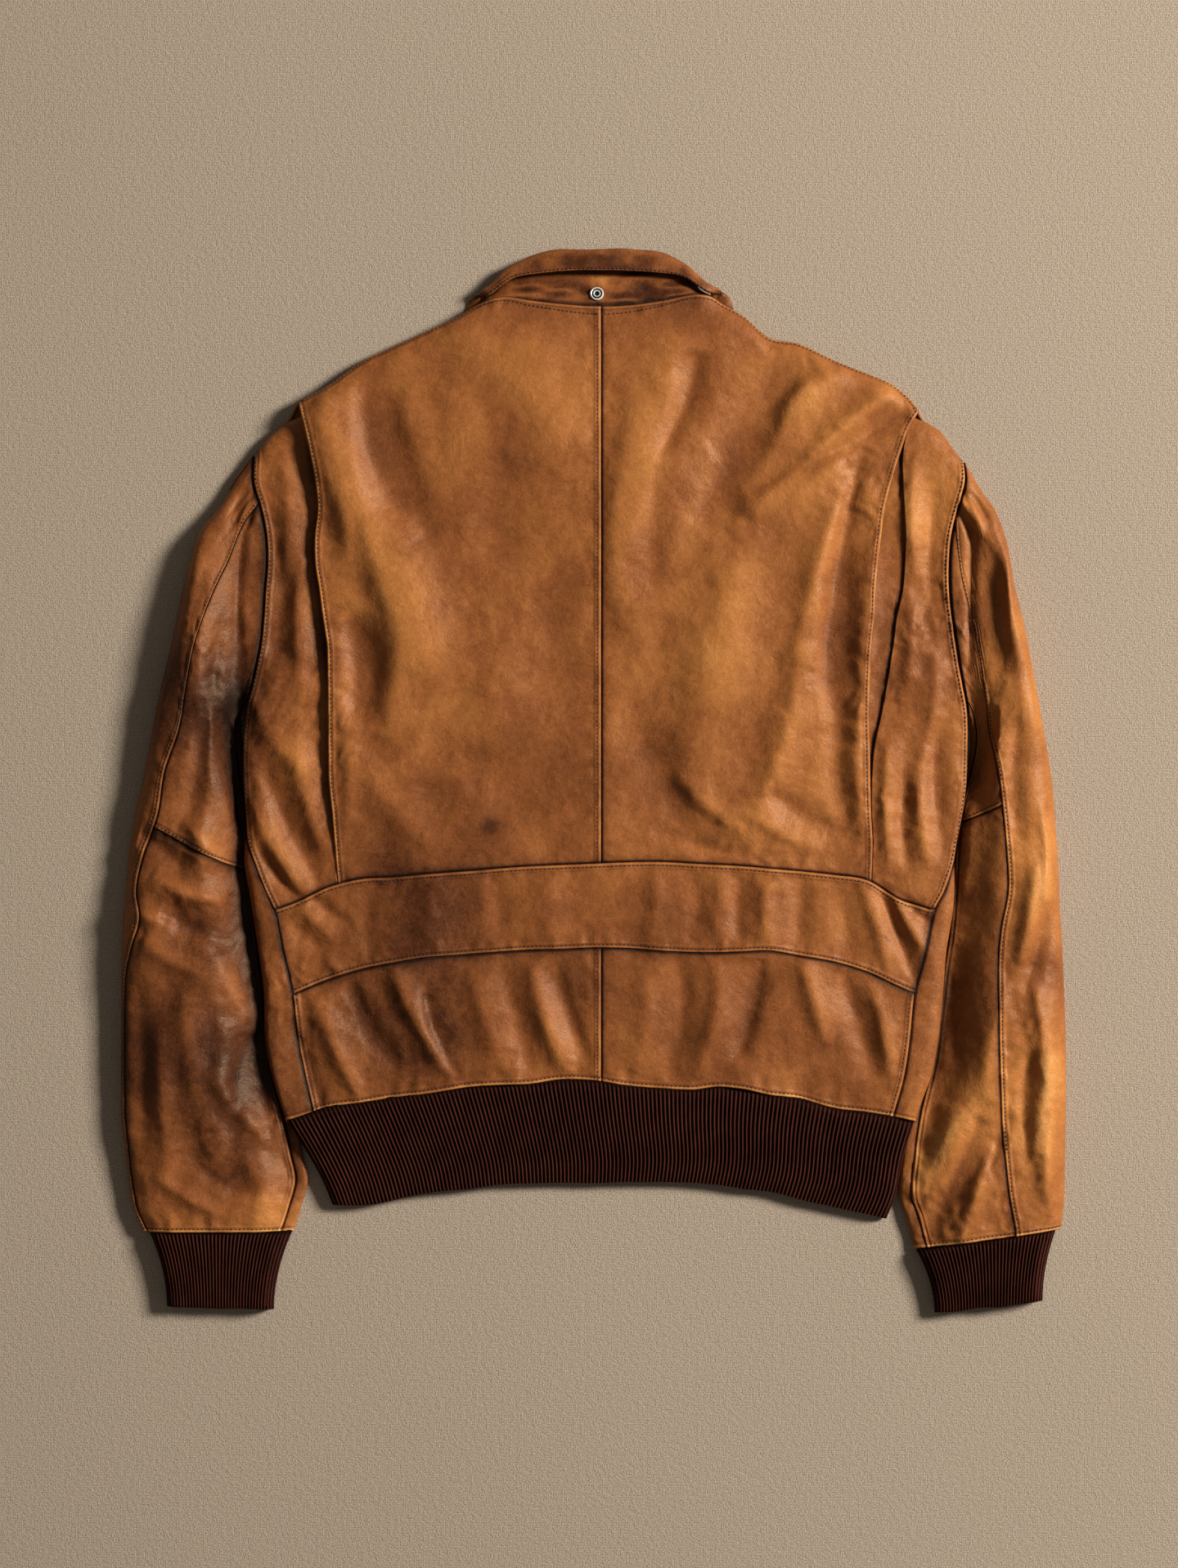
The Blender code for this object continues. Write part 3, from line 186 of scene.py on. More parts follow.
leftSleeve = SizeTable(
    "ring outer_x outer_y inner_x inner_y bow crown rim_in rim_out armhole",
    (0, -250, 240, -256.6, 50, 0, 15, 10.4, 5, 1),
    (1, -252.6, 236.5, -257.6, 48, 0, 15, 9.7, 5, 0.85),
    (2, -256, 232, -258.4, 45.8, 0, 15, 8.8, 5.4, 0.7),
    (3, -262.5, 223, -259, 42.5, -1, 16, 7.7, 6, 0.5),
    (4, -269, 212.5, -259.4, 38, -3, 18, 6.5, 6.6, 0.3),
    (5, -276.5, 201, -259.6, 32.5, -6, 20.5, 5.3, 7, 0.12),
    (6, -289.8, 182.6, -258.8, 25, -9, 23, 4.2, 7.6, 0),
    (7, -298, 155, -257, 15, -10, 25, 3.5, 8, 0),
    (8, -305, 124, -254.5, 3, -9, 26, 3.2, 8, 0),
    (9, -312, 92, -251.5, -10, -8, 26.5, 3.2, 8, 0),
    (10, -318.4, 66, -249.2, -22, -7, 26.5, 3.2, 8, 0),
    (11, -325, 33, -247.5, -36, -5, 26, 3.2, 8, 0),
    (12, -331, 0, -246.5, -52, -4, 26, 3.2, 8, 0),
    (13, -337, -26, -245.5, -68, -3, 26, 3.2, 8, 0),
    (14, -341.5, -56, -243.5, -87, -1, 24, 3.2, 8, 0),
    (15, -343.8, -85, -241, -104, 0, 24, 3.2, 8, 0),
    (16, -345.6, -103, -239, -120, 0, 24, 3.2, 8, 0),
    (17, -346.5, -122, -237, -136, 0, 24.5, 3.2, 8, 0),
    (18, -346.6, -150, -234.5, -160, 0, 24.5, 3.2, 8, 0),
    (19, -346.8, -185, -231, -190, 0, 24, 3.2, 8, 0),
    (20, -347.1, -220, -225.5, -224, 0, 23, 3.2, 7.6, 0),
    (21, -346.8, -247, -218.5, -251, 0, 22, 3.2, 7.2, 0),
    (22, -344.2, -270, -213.5, -276, 0, 20.5, 3.6, 6.8, 0),
    (23, -342, -292, -210, -294, 0, 19, 4.2, 6.4, 0),
    (24, -338, -314, -214.8, -313, 0, 17.5, 4.8, 6, 0),
    (25, -330.5, -331, -220.5, -331, 0, 16.5, 5, 5.6, 0),
)

leftElbow = SizeTable(
    "y seam",
    (205, -246), (189, -258), (164, -268), (138, -279.5), (102, -292), (73, -298), (38, -304), (8, -314.5),
    (-25, -320), (-55, -331), (-80, -336), (-100, -333), (-122, -339.5), (-145, -344), (-217, -345),
    (-247, -344.6), (-270, -342.4), (-292, -340.3), (-314, -336.4), (-331, -329),
)

rightSleeve = SizeTable(
    "ring outer_x outer_y inner_x inner_y bow crown rim_in rim_out armhole",
    (0, 270.6, 235, 273.6, 50, 0, 15, 10.4, 5, 1),
    (1, 273, 231, 274.7, 48, 0, 15, 9.7, 5, 0.85),
    (2, 276, 226, 275.5, 45.8, 0, 15, 8.8, 5.4, 0.7),
    (3, 281, 218, 276, 42.5, -1, 16, 7.7, 6, 0.5),
    (4, 287, 209.5, 276.5, 38, -3, 18, 6.5, 6.6, 0.3),
    (5, 294, 199.5, 276.5, 32, -6, 20.5, 5.3, 7, 0.12),
    (6, 301.7, 176, 275.5, 23.5, -10, 23, 4.2, 7.6, 0),
    (7, 307, 145, 273, 12, -11, 25, 3.5, 8, 0),
    (8, 314, 117, 269.5, 0, -10, 26, 3.2, 8, 0),
    (9, 320.7, 83, 266, -10, -7, 26.5, 3.2, 8, 0),
    (10, 326.6, 50, 262, -20, -5, 26.5, 3.2, 8, 0),
    (11, 334.6, 2, 257.5, -33, -2, 26, 3.2, 8, 0),
    (12, 337.6, -33, 255.5, -56, 0, 26, 3.2, 8, 0),
    (13, 339.6, -62, 254, -79, 0, 25.5, 3.2, 8, 0),
    (14, 340.5, -90, 252.5, -101, 0, 25, 3.2, 8, 0),
    (15, 342, -113, 250, -122, 0, 24.5, 3.2, 8, 0),
    (16, 343.3, -140, 246.5, -146, 0, 24, 3.2, 8, 0),
    (17, 344.6, -172, 243, -176, 0, 23.5, 3.2, 8, 0),
    (18, 345.3, -206, 238, -210, 0, 23, 3.2, 8, 0),
    (19, 345.3, -240, 229.5, -245, 0, 22.5, 3.2, 7.6, 0),
    (20, 344.8, -270, 225, -276, 0, 21.5, 3.2, 7.2, 0),
    (21, 344.4, -295, 222.5, -303, 0, 20, 3.8, 6.8, 0),
    (22, 343.6, -314, 228, -321, 0, 18, 4.4, 6.2, 0),
    (23, 341.6, -329, 234, -344, 0, 16.5, 5, 5.6, 0),
)

rightElbow = SizeTable(
    "y seam",
    (187, 264.8), (149, 269.7), (111, 279.5), (80, 284), (30, 291), (0, 296), (-50, 300.6), (-80, 302),
    (-109, 297), (-139, 295), (-200, 295.7), (-250, 298), (-300, 303), (-329, 308.4),
)

ribSides = SizeTable(
    "down left_x left_y right_x right_y",
    (0, -226.8, -249.8, 235, -251.8),
    (0.35, -213, -276, 227.4, -273),
    (0.75, -199.5, -299, 222, -299),
    (1, -193, -311.5, 214.8, -321.8),
)

cuffEnds = SizeTable(
    "cuff outer_x outer_y inner_x inner_y end_outer_x end_outer_y end_inner_x end_inner_y",
    (0, -328, -331.8, -222.2, -331.6, -314.8, -385.6, -236, -388.6),
    (1, 339.6, -330.2, 236.6, -346, 329.6, -382.2, 250, -390.6),
)

collarLine = SizeTable(
    "station seam_x seam_y seam_z fold_x fold_y fold_z edge_x edge_y edge_z roll tilt",
    (0, -8, 284.4, 2.6, -9, 297, 2.1, -48, 240, 0, 2.1, -89),
    (1, -30, 288.4, 2.6, -30, 300, 2.1, -72, 252, 0, 2.1, -89),
    (2, -52, 301, 2.6, -49, 313, 2.1, -98, 274, 0, 2.1, -88),
    (3, -69.5, 320.5, 2.8, -65, 331.5, 2.6, -110, 302, 0, 2.4, -86),
    (4, -79.5, 340.5, 3.2, -75.5, 347, 3, -104, 325, 0, 2.6, -78),
    (5, -84.5, 352, 7.5, -81, 359, 6.8, -92, 353, 0.8, 4, -10),
    (6, -73, 355.8, 13, -76, 366, 7.6, -77.5, 358, 15.4, 4.6, 72),
    (7, -56, 354.7, 14.6, -60, 380.5, 7.4, -60, 369.5, 16.4, 5, 86),
    (8, -38, 352, 15, -40, 388.8, 7.2, -40, 373, 17, 5.2, 88),
    (9, -16, 349.8, 15.2, -16, 391.4, 7, -17, 374.8, 17.4, 5.2, 89),
    (10, 6, 348.9, 15.2, 6, 391.8, 7, 5, 375, 17.4, 5.2, 90),
    (11, 28, 350, 15.2, 29, 391.2, 7, 28, 374.4, 17.4, 5.2, 89),
    (12, 46, 352.5, 15, 49, 389.6, 7.2, 47, 373.4, 17, 5.2, 88),
    (13, 62, 356, 14.6, 66, 381, 7.4, 64, 370.6, 16.4, 5, 86),
    (14, 78, 357.4, 13, 81, 367, 7.6, 82, 360, 15.4, 4.6, 72),
    (15, 91.5, 354, 7.5, 88, 361, 6.6, 99, 355, 0.8, 4, -10),
    (16, 83.5, 340.5, 3.0, 80.5, 347, 2.6, 109, 325, 0, 2.4, -78),
    (17, 73.2, 320.5, 2.8, 69, 331.5, 2.6, 115, 302, 0, 2.4, -86),
    (18, 57, 301, 2.6, 54, 313, 2.1, 103, 274, 0, 2.1, -88),
    (19, 35, 288.4, 2.6, 35, 300, 2.1, 77, 252, 0, 2.1, -89),
    (20, 12, 284.4, 2.6, 13, 297, 2.1, 53, 240, 0, 2.1, -89),
)

# Creases, each a soft ridge or trough along three points. Lean makes its left side wider than its right.
# A row holds the x and y of its start, middle and end, then its width, rise and lean.
creaseForm = dict(gain=2.45, reach=3, taper=0.6, fall=1.6, joints=8)
creaseRows = [
    # back, left of the centre seam
    (-180, 291, -168, 189, -126, 72, 13, 2.6, 0.25),
    (-154, 287, -144, 237, -120, 176, 12, -3.2, -0.2),
    (-196, 262, -183, 205, -183, 150, 9, 1.8, 0.2),
    (-182, 128, -173, 93, -177, 50, 9, -2.4, 0.1),
    (-152, 160, -142, 105, -156, 30, 12, 2.0, 0.2),
    (-112, 334, -62, 300, -20, 235, 22, 1.2, 0),
    (-122, 40, -66, -8, -30, -54, 18, -1.3, 0),
    (-172, 22, -150, -18, -112, -52, 12, 1.3, 0.2),
    (-92, 210, -72, 120, -84, 20, 24, 1.1, 0),
    (-40, 180, -26, 90, -44, -20, 24, -1.0, 0),
    (-188, 60, -180, 10, -184, -46, 8, 1.2, 0.2),
    # right of it
    (60, 332, 48, 250, 18, 165, 18, 2.8, 0.2),
    (74, 316, 68, 282, 46, 236, 12, -3.0, -0.3),
    (222, 292, 172, 250, 98, 182, 12, 3.6, 0.3),
    (232, 278, 188, 248, 110, 214, 11, -3.6, -0.3),
    (162, 306, 120, 270, 84, 242, 12, -2.4, 0),
    (190, 306, 152, 284, 112, 262, 10, 1.8, 0.2),
    (200, 262, 168, 226, 132, 196, 8, 1.4, 0.2),
    (197, 246, 184, 190, 179, 136, 8, -3.2, -0.3),
    (181, 156, 174, 82, 182, 24, 8, -2.8, 0.2),
    (180, 40, 177, 8, 186, -34, 8, -2.4, 0),
    (190, 228, 164, 160, 146, 84, 12, 3.0, 0.3),
    (150, 104, 141, 40, 116, -30, 12, 2.4, 0.2),
    (104, 160, 92, 82, 58, -4, 20, 1.5, 0),
    (36, 44, 54, -12, 84, -52, 13, -1.8, 0.2),
    (58, 6, 84, -20, 122, -42, 9, 1.6, 0.3),
    (98, -16, 128, -34, 164, -52, 8, 1.6, 0.3),
    (126, -4, 152, -24, 194, -40, 8, -1.8, 0),
    (44, -32, 70, -45, 114, -56, 6, -1.2, 0),
    (196, 70, 192, 20, 196, -40, 7, 1.4, -0.2),
    # broad folds under the finer ones
    (135, 318, 106, 240, 70, 190, 17, -2.6, 0.3),
    (160, 306, 132, 248, 104, 196, 15, 2.4, 0.2),
    (40, 285, 16, 200, 22, 110, 15, 1.8, 0.2),
    (62, 276, 44, 214, 48, 130, 12, -1.9, 0),
    (112, 190, 92, 120, 70, 50, 20, 1.8, 0.2),
    (192, 200, 176, 130, 172, 60, 11, -2.6, 0.3),
    (206, 180, 198, 110, 194, 30, 8, 1.8, 0),
    (-164, 306, -166, 248, -132, 196, 16, -2.8, -0.2),
    (-196, 292, -196, 232, -170, 170, 13, 2.3, 0.2),
    (-150, 200, -134, 130, -112, 60, 18, 2.2, 0.2),
    (-180, 120, -166, 84, -170, 40, 12, -2.4, -0.2),
    (-70, 240, -76, 170, -70, 90, 26, -1.7, 0),
    (-60, 332, -34, 290, -30, 220, 24, 1.5, 0),
    (20, 60, 40, 10, 30, -50, 22, -1.2, 0),
    # belt
    (128, -62, 124, -95, 127, -124, 7, 1.7, 0.2),
    (149, -66, 151, -95, 147, -128, 7, -1.7, 0),
    (108, -62, 104, -94, 109, -122, 6, -1.1, 0),
    (40, -60, 45, -90, 38, -122, 8, 1.0, 0),
    (70, -60, 75, -92, 66, -122, 9, -1.1, 0),
    (94, -62, 91, -95, 96, -122, 7, 0.9, 0),
    (-28, -62, -34, -92, -27, -122, 10, 0.8, 0),
    (-76, -66, -70, -95, -78, -124, 9, -0.9, 0),
    (-116, -68, -122, -98, -114, -128, 9, 0.9, 0),
    (-160, -72, -168, -105, -158, -134, 8, -1.1, 0),
    (-218, -90, -204, -104, -188, -120, 5, 1.3, 0),
    (-210, -82, -195, -95, -178, -106, 4, -1.2, 0),
    (-224, -104, -208, -118, -196, -136, 5, -1.2, 0),
    (-214, -114, -200, -128, -184, -140, 5, 1.0, 0),
    (207, -76, 221, -110, 236, -150, 5, -2.0, 0.3),
    (216, -80, 230, -105, 244, -128, 5, 1.6, 0),
    (194, -72, 206, -105, 216, -146, 6, 1.5, 0.2),
    (176, -70, 184, -104, 190, -136, 7, -1.1, 0),
    (226, -84, 238, -98, 248, -106, 4, -1.2, 0),
    # below the belt
    (-150, -132, -130, -176, -98, -222, 9, 3.0, 0.3),
    (-180, -144, -165, -180, -140, -212, 8, -2.8, -0.2),
    (-204, -156, -191, -195, -170, -236, 8, 2.3, 0.2),
    (-124, -146, -117, -186, -94, -226, 6, -2.4, 0.3),
    (-92, -134, -79, -178, -60, -222, 10, 1.5, 0.2),
    (-70, -128, -58, -170, -44, -216, 8, -1.3, 0),
    (-47, -130, -37, -174, -20, -216, 9, 2.3, 0.3),
    (-29, -132, -19, -170, -4, -210, 8, -2.3, -0.3),
    (30, -128, 39, -168, 28, -214, 10, 1.3, 0),
    (60, -128, 65, -168, 50, -218, 8, -1.5, 0),
    (86, -128, 89, -168, 74, -218, 8, 1.7, 0.2),
    (122, -130, 115, -170, 103, -206, 8, -2.5, -0.2),
    (151, -128, 160, -160, 171, -196, 8, 2.5, 0.2),
    (181, -138, 193, -175, 206, -220, 7, -2.0, 0),
    (200, -144, 211, -180, 217, -224, 6, 1.5, 0.2),
    (-222, -176, -212, -205, -204, -238, 5, -1.3, 0),
    # panel beside the left pleat
    (-245, 12, -226, -30, -201, -78, 8, -2.6, 0.3),
    (-253, -10, -238, -45, -212, -84, 7, 2.0, 0.2),
    (-222, 36, -212, -10, -199, -54, 7, 1.6, 0.2),
    (-231, 240, -224, 198, -229, 146, 9, 1.6, 0.2),
    (-238, 196, -230, 140, -237, 84, 8, -1.8, 0),
    (-215, 166, -218, 110, -211, 56, 7, 1.5, 0.2),
    (-251, 66, -236, 32, -214, 8, 8, 1.6, 0.1),
    (-247, -48, -232, -70, -212, -90, 5, -1.6, 0),
    (-242, 116, -228, 94, -205, 78, 7, -1.2, 0),
    # panel beside the right pleat
    (229, 6, 225, -30, 230, -68, 5, -1.5, 0.3),
    (241, 26, 238, -20, 245, -64, 7, 2.2, 0.2),
    (215, 34, 213, -20, 217, -70, 6, 1.6, 0.2),
    (253, 46, 250, 0, 257, -54, 7, -1.8, 0),
    (237, 244, 232, 200, 237, 146, 8, 1.8, 0.2),
    (251, 214, 246, 165, 251, 116, 8, -1.6, 0),
    (228, 144, 232, 100, 226, 56, 7, 1.4, 0.1),
    (246, 106, 249, 60, 240, 16, 7, 1.5, 0.1),
    # left sleeve
    (-257, 190, -262, 140, -261, 90, 3, -2.2, 0),
    (-261, 116, -265, 40, -260, -44, 8, -4.5, 0.2),
    (-276, 156, -287, 105, -291, 52, 11, 2.2, 0.2),
    (-301, -28, -286, -44, -266, -64, 7, 2.8, 0.2),
    (-318, -96, -295, -106, -264, -122, 9, -3.2, 0.2),
    (-301, -144, -296, -200, -283, -258, 11, 2.5, 0.2),
    (-256, -184, -263, -245, -260, -308, 9, -2.8, 0.2),
    (-324, -68, -300, -82, -268, -88, 7, 2.6, 0.2),
    (-332, -118, -312, -128, -276, -152, 8, 2.1, 0.2),
    (-335, -144, -330, -210, -332, -276, 8, -1.8, 0),
    (-318, -174, -316, -230, -312, -296, 9, 1.8, 0.1),
    (-277, -126, -262, -160, -246, -184, 8, 2.3, 0.2),
    (-282, -210, -262, -240, -238, -266, 8, 2.1, 0.2),
    (-302, -266, -280, -290, -246, -302, 6, -1.8, 0.2),
    (-322, -286, -300, -305, -266, -320, 5, 1.6, 0),
    (-262, 36, -270, -10, -261, -50, 8, 2.2, 0.2),
    (-331, 14, -322, 60, -312, 116, 7, 1.6, 0),
    (-284, 46, -292, 0, -297, -40, 8, -2.0, 0.2),
    (-245, -194, -236, -230, -232, -272, 6, 1.7, 0.2),
    (-334, -40, -318, -48, -300, -66, 6, -1.8, 0.1),
    (-270, 120, -278, 84, -276, 40, 7, -1.8, 0.1),
    (-340, -90, -326, -100, -306, -104, 5, 1.6, 0),
    (-247, 207, -254, 203, -261, 188, 3, 1.8, 0.3),
    (-246, 201, -252, 196, -256, 182, 3, -1.8, 0),
    (-249, 213, -259, 209, -267, 195, 3, -1.5, 0),
    # right sleeve
    (277, 190, 276, 140, 275, 82, 3, -2.0, 0),
    (323, -58, 318, -95, 310, -134, 8, 2.9, 0.2),
    (335, -154, 330, -220, 317, -292, 10, 2.5, 0.2),
    (283, -246, 266, -290, 243, -340, 8, -3.0, 0.2),
    (263, -236, 252, -272, 230, -306, 8, 2.6, 0.2),
    (307, 176, 302, 130, 311, 84, 9, 2.0, 0.2),
    (290, 166, 296, 120, 301, 74, 8, -1.9, 0),
    (321, 126, 324, 70, 331, 14, 8, 1.7, 0.1),
    (285, 66, 281, 20, 284, -26, 8, -1.7, 0),
    (272, 4, 276, -40, 271, -86, 8, 1.9, 0.1),
    (311, 46, 306, 0, 312, -46, 7, -1.9, 0.2),
    (326, -16, 331, -60, 326, -106, 6, 2.1, 0.2),
    (331, -86, 324, -120, 315, -156, 6, -2.3, 0.2),
    (318, -136, 326, -180, 331, -226, 6, 1.8, 0.1),
    (301, -146, 290, -190, 284, -236, 8, 1.6, 0.1),
    (270, -116, 262, -160, 266, -206, 8, -1.8, 0),
    (321, -196, 314, -240, 322, -296, 7, -2.0, 0.2),
    (337, -236, 330, -280, 336, -320, 6, 1.8, 0),
    (291, -266, 280, -300, 268, -339, 6, 2.0, 0.2),
    (306, -226, 296, -262, 284, -294, 6, -1.6, 0),
    (266, 206, 276, 200, 284, 182, 3, 2.0, 0),
    (265, 198, 272, 192, 277, 172, 3, -2.0, 0),
    (269, 212, 280, 205, 289, 188, 3, -1.5, 0),
]


def creases(x, y):
    rise = np.zeros_like(x, dtype=float)
    for startX, startY, midX, midY, endX, endY, width, high, lean in creaseRows:
        reach = creaseForm["reach"] * width
        near = (x > min(startX, midX, endX) - reach) & (x < max(startX, midX, endX) + reach)
        near &= (y > min(startY, midY, endY) - reach) & (y < max(startY, midY, endY) + reach)
        if not near.any():
            continue
        px, py = x[near], y[near]
        best = np.full(px.shape, 1e9)
        sideOf, place = np.zeros(px.shape), np.zeros(px.shape)
        t = np.linspace(0, 1, creaseForm["joints"])
        bendX = (1 - t) ** 2 * startX + 2 * t * (1 - t) * (2 * midX - (startX + endX) / 2) + t * t * endX
        bendY = (1 - t) ** 2 * startY + 2 * t * (1 - t) * (2 * midY - (startY + endY) / 2) + t * t * endY
        for step in range(len(t) - 1):
            alongX, alongY = bendX[step + 1] - bendX[step], bendY[step + 1] - bendY[step]
            share = ((px - bendX[step]) * alongX + (py - bendY[step]) * alongY) / (alongX ** 2 + alongY ** 2)
            share = np.clip(share, 0, 1)
            offX, offY = px - bendX[step] - share * alongX, py - bendY[step] - share * alongY
            apart = np.hypot(offX, offY)
            closer = apart < best
            best[closer] = apart[closer]
            sideOf[closer] = np.sign(alongX * offY - alongY * offX)[closer]
            place[closer] = ((step + share) / (len(t) - 1))[closer]
        taper = np.clip(4 * place * (1 - place), 0, 1) ** creaseForm["taper"]
        shape = np.exp(-(best / (width * (1 + lean * sideOf))) ** creaseForm["fall"])
        rise[near] += creaseForm["gain"] * high * taper * shape
    return rise


# Where the leather is crumpled small, and how much: each spot has a centre, a reach and an amount.
crumpleForm = dict(everywhere=0.29, coarse=1.9, coarseSize=13, fine=1.7, fineSize=6.5)
crumpledSpots = [
    (244, 105, 32, 1.2), (-232, -160, 34, 0.9), (-272, -270, 42, 0.9), (266, -300, 44, 0.9),
    (-231, 60, 34, 0.5), (196, 215, 34, 0.6), (-190, 40, 34, 0.5), (330, -190, 36, 0.6),
    (-300, -80, 40, 0.6), (-276, 90, 34, 0.5), (120, -40, 42, 0.4), (-140, -180, 44, 0.5),
    (186, 70, 36, 0.5), (224, -20, 34, 0.7), (-222, -20, 32, 0.5),
]


def withSpots(amount, spots, x, y):
    for spotX, spotY, reach, more in spots:
        amount = amount + more * bell(np.hypot(x - spotX, y - spotY), reach)
    return amount


def crumple(x, y):
    coarse = 0.5 - abs(drift(x * 0.95 + y * 0.3, y * 0.95 - x * 0.3, crumpleForm["coarseSize"], 21))
    fine = 0.5 - abs(drift(x * 0.8 - y * 0.5, y * 0.8 + x * 0.5, crumpleForm["fineSize"], 22))
    amount = withSpots(crumpleForm["everywhere"], crumpledSpots, x, y)
    return amount * (crumpleForm["coarse"] * coarse + crumpleForm["fine"] * fine)


def slack(x, y):  # the unevenness of soft leather lying flat
    broad = 1.6 * drift(x, y, 62, 1) + 1.0 * drift(x * 1.3, y * 0.8, 27, 2)
    return broad + 0.3 * drift(x, y, 12, 3) + crumple(x, y)


# Lighter and darker areas, in spots of the same kind: above 0 is lighter, below it darker.
# They are partly the leather's own tone and wear and partly painted light and shade: darker on the left,
# away from the lamp, and on the left sleeve beside the torso, lighter on the right shoulder and sleeve.
toneAndShadeSpots = [
    (-120, 275, 70, 0.04), (-164, 250, 26, -0.2), (-30, 305, 60, 0.05), (165, 275, 62, 0.25),
    (60, 262, 50, 0.12), (-185, 140, 36, 0.22), (85, 120, 60, 0.05), (160, 45, 50, 0.15),
    (-235, 175, 42, -0.5), (-225, 95, 34, -0.36), (-236, 20, 30, 0.10), (-220, -45, 24, -0.1),
    (240, 95, 36, -0.25), (252, 215, 34, 0.34), (-120, -98, 60, -0.42), (60, -95, 60, -0.2),
    (-130, -180, 55, -0.5), (0, -185, 60, -0.22), (130, -175, 55, -0.16), (-30, -216, 60, 0.12),
    (-310, 60, 60, -0.55), (-275, 60, 40, -0.5), (-265, 0, 26, -0.5), (-300, -60, 50, -0.30),
    (-318, -200, 60, -0.44), (-264, -235, 50, -0.55), (-236, -316, 18, 0.5), (-270, -115, 34, -0.3),
    (-262, -190, 30, -0.28), (-288, -292, 30, -0.3), (310, 70, 60, 0.2), (324, -60, 45, 0.25),
    (274, -150, 46, -0.16), (330, -230, 50, 0.3), (272, -300, 42, -0.10), (0, 385, 60, -0.12),
    (-70, 375, 40, -0.2), (70, 375, 40, -0.2), (40, 364, 44, -0.2), (-30, 362, 34, -0.1),
    (-77, -33, 7, -0.5), (284, 130, 26, -0.2), (286, -255, 50, 0.22), (-30, -20, 45, -0.12),
    (-110, -40, 40, -0.1),
]


def toneOf(x, y):
    return withSpots(0.12 * drift(x, y, 48, 4) + 0.07 * drift(x, y, 19, 5), toneAndShadeSpots, x, y)


# Seams. An over edge is folded under and topstitched, a worn edge is an over edge that has rubbed pale,
# and an under edge runs on beneath its neighbour.

seamForm = dict(stitchIn=2.7, band=3.9, raised=0.5, lap=1.4, sunk=1.5, stitchPitch=3.1)
puckers = dict(worn=(1.1, 6.5, 8), over=(0.8, 5.0, 5.5), under=(0.35, 5.2, 5))  # height, length, distance in


def seamRise(kind, apart, along, start):
    if kind in ("over", "worn"):
        most, length, reach = puckers[kind]
        pucker = most * drift(along, along * 0 + 37.7 * start, length, start) * bell(apart - reach, reach - 1)
        raised = seamForm["raised"] * (1 - ease((apart - seamForm["band"]) / 1.6))
        groove = 0.4 * bell(apart - seamForm["stitchIn"], 0.6)
        return raised - groove - 1.2 * (1 - rounded(apart, 1.3)) + pucker
    if kind == "under":
        most, length, reach = puckers[kind]
        pucker = most * drift(along, along * 0 + 21.3 * start, length, start) * bell(apart - reach, 4.5)
        return pucker - seamForm["sunk"] * (1 - ease((apart + seamForm["lap"]) / 3.0))
    return 0 * apart


# Lighter and darker marks beside a seam. The pale wear and the dark line of the stitches are the leather's
# own; the dark line at an over edge's fold and the dark band where a panel runs under its neighbour are
# painted shade.
def seamMarks(kind, apart, along, start):
    patchy = 0.5 + 0.5 * drift(along, along * 0 + 11.1 * start, 13, start + 3)
    if kind == "worn":
        wearAndHighlight = (0.6 + 0.5 * patchy) * bell(apart - 1.2, 1.3)
        return wearAndHighlight, 0.25 * bell(apart - 3.4, 0.9) + 0.3 * bell(apart, 0.4)
    if kind == "over":
        wearAndHighlight = (0.22 + 0.5 * patchy) * bell(apart - 1.1, 0.9)
        return wearAndHighlight, 0.25 * bell(apart - seamForm["stitchIn"], 0.7) + 0.45 * bell(apart, 0.5)
    if kind == "under":
        return 0 * apart, 0.9 * bell(np.maximum(apart - 0.3, 0), 1.1) + 0.2 * bell(apart - 1, 4)
    return 0 * apart, 0 * apart


def spread(length, coarse=2.4, fine=0.8, start=True, end=True):  # places closer together beside a seam
    places = [0.0]
    while places[-1] < length:
        near = min(places[-1] if start else length, length - places[-1] if end else length)
        places.append(places[-1] + mix(fine, coarse, float(ease((near - 5) / 9))))
    return np.array(places) / places[-1]


# Meshes

aboveFloor, leatherWall = 0.05, 1.3
shownPieces = []
stitchPlaces = []


def dress(piece, body, look, *nodes):
    # A look is a finish and a slot name, of which the piece takes only the finish. The nodes are the plain
    # ones that this piece stands for.
    piece.data.materials.append(look[0])
    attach(piece, body)
    if nodes:
        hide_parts(*nodes)
    shownPieces.append(piece)


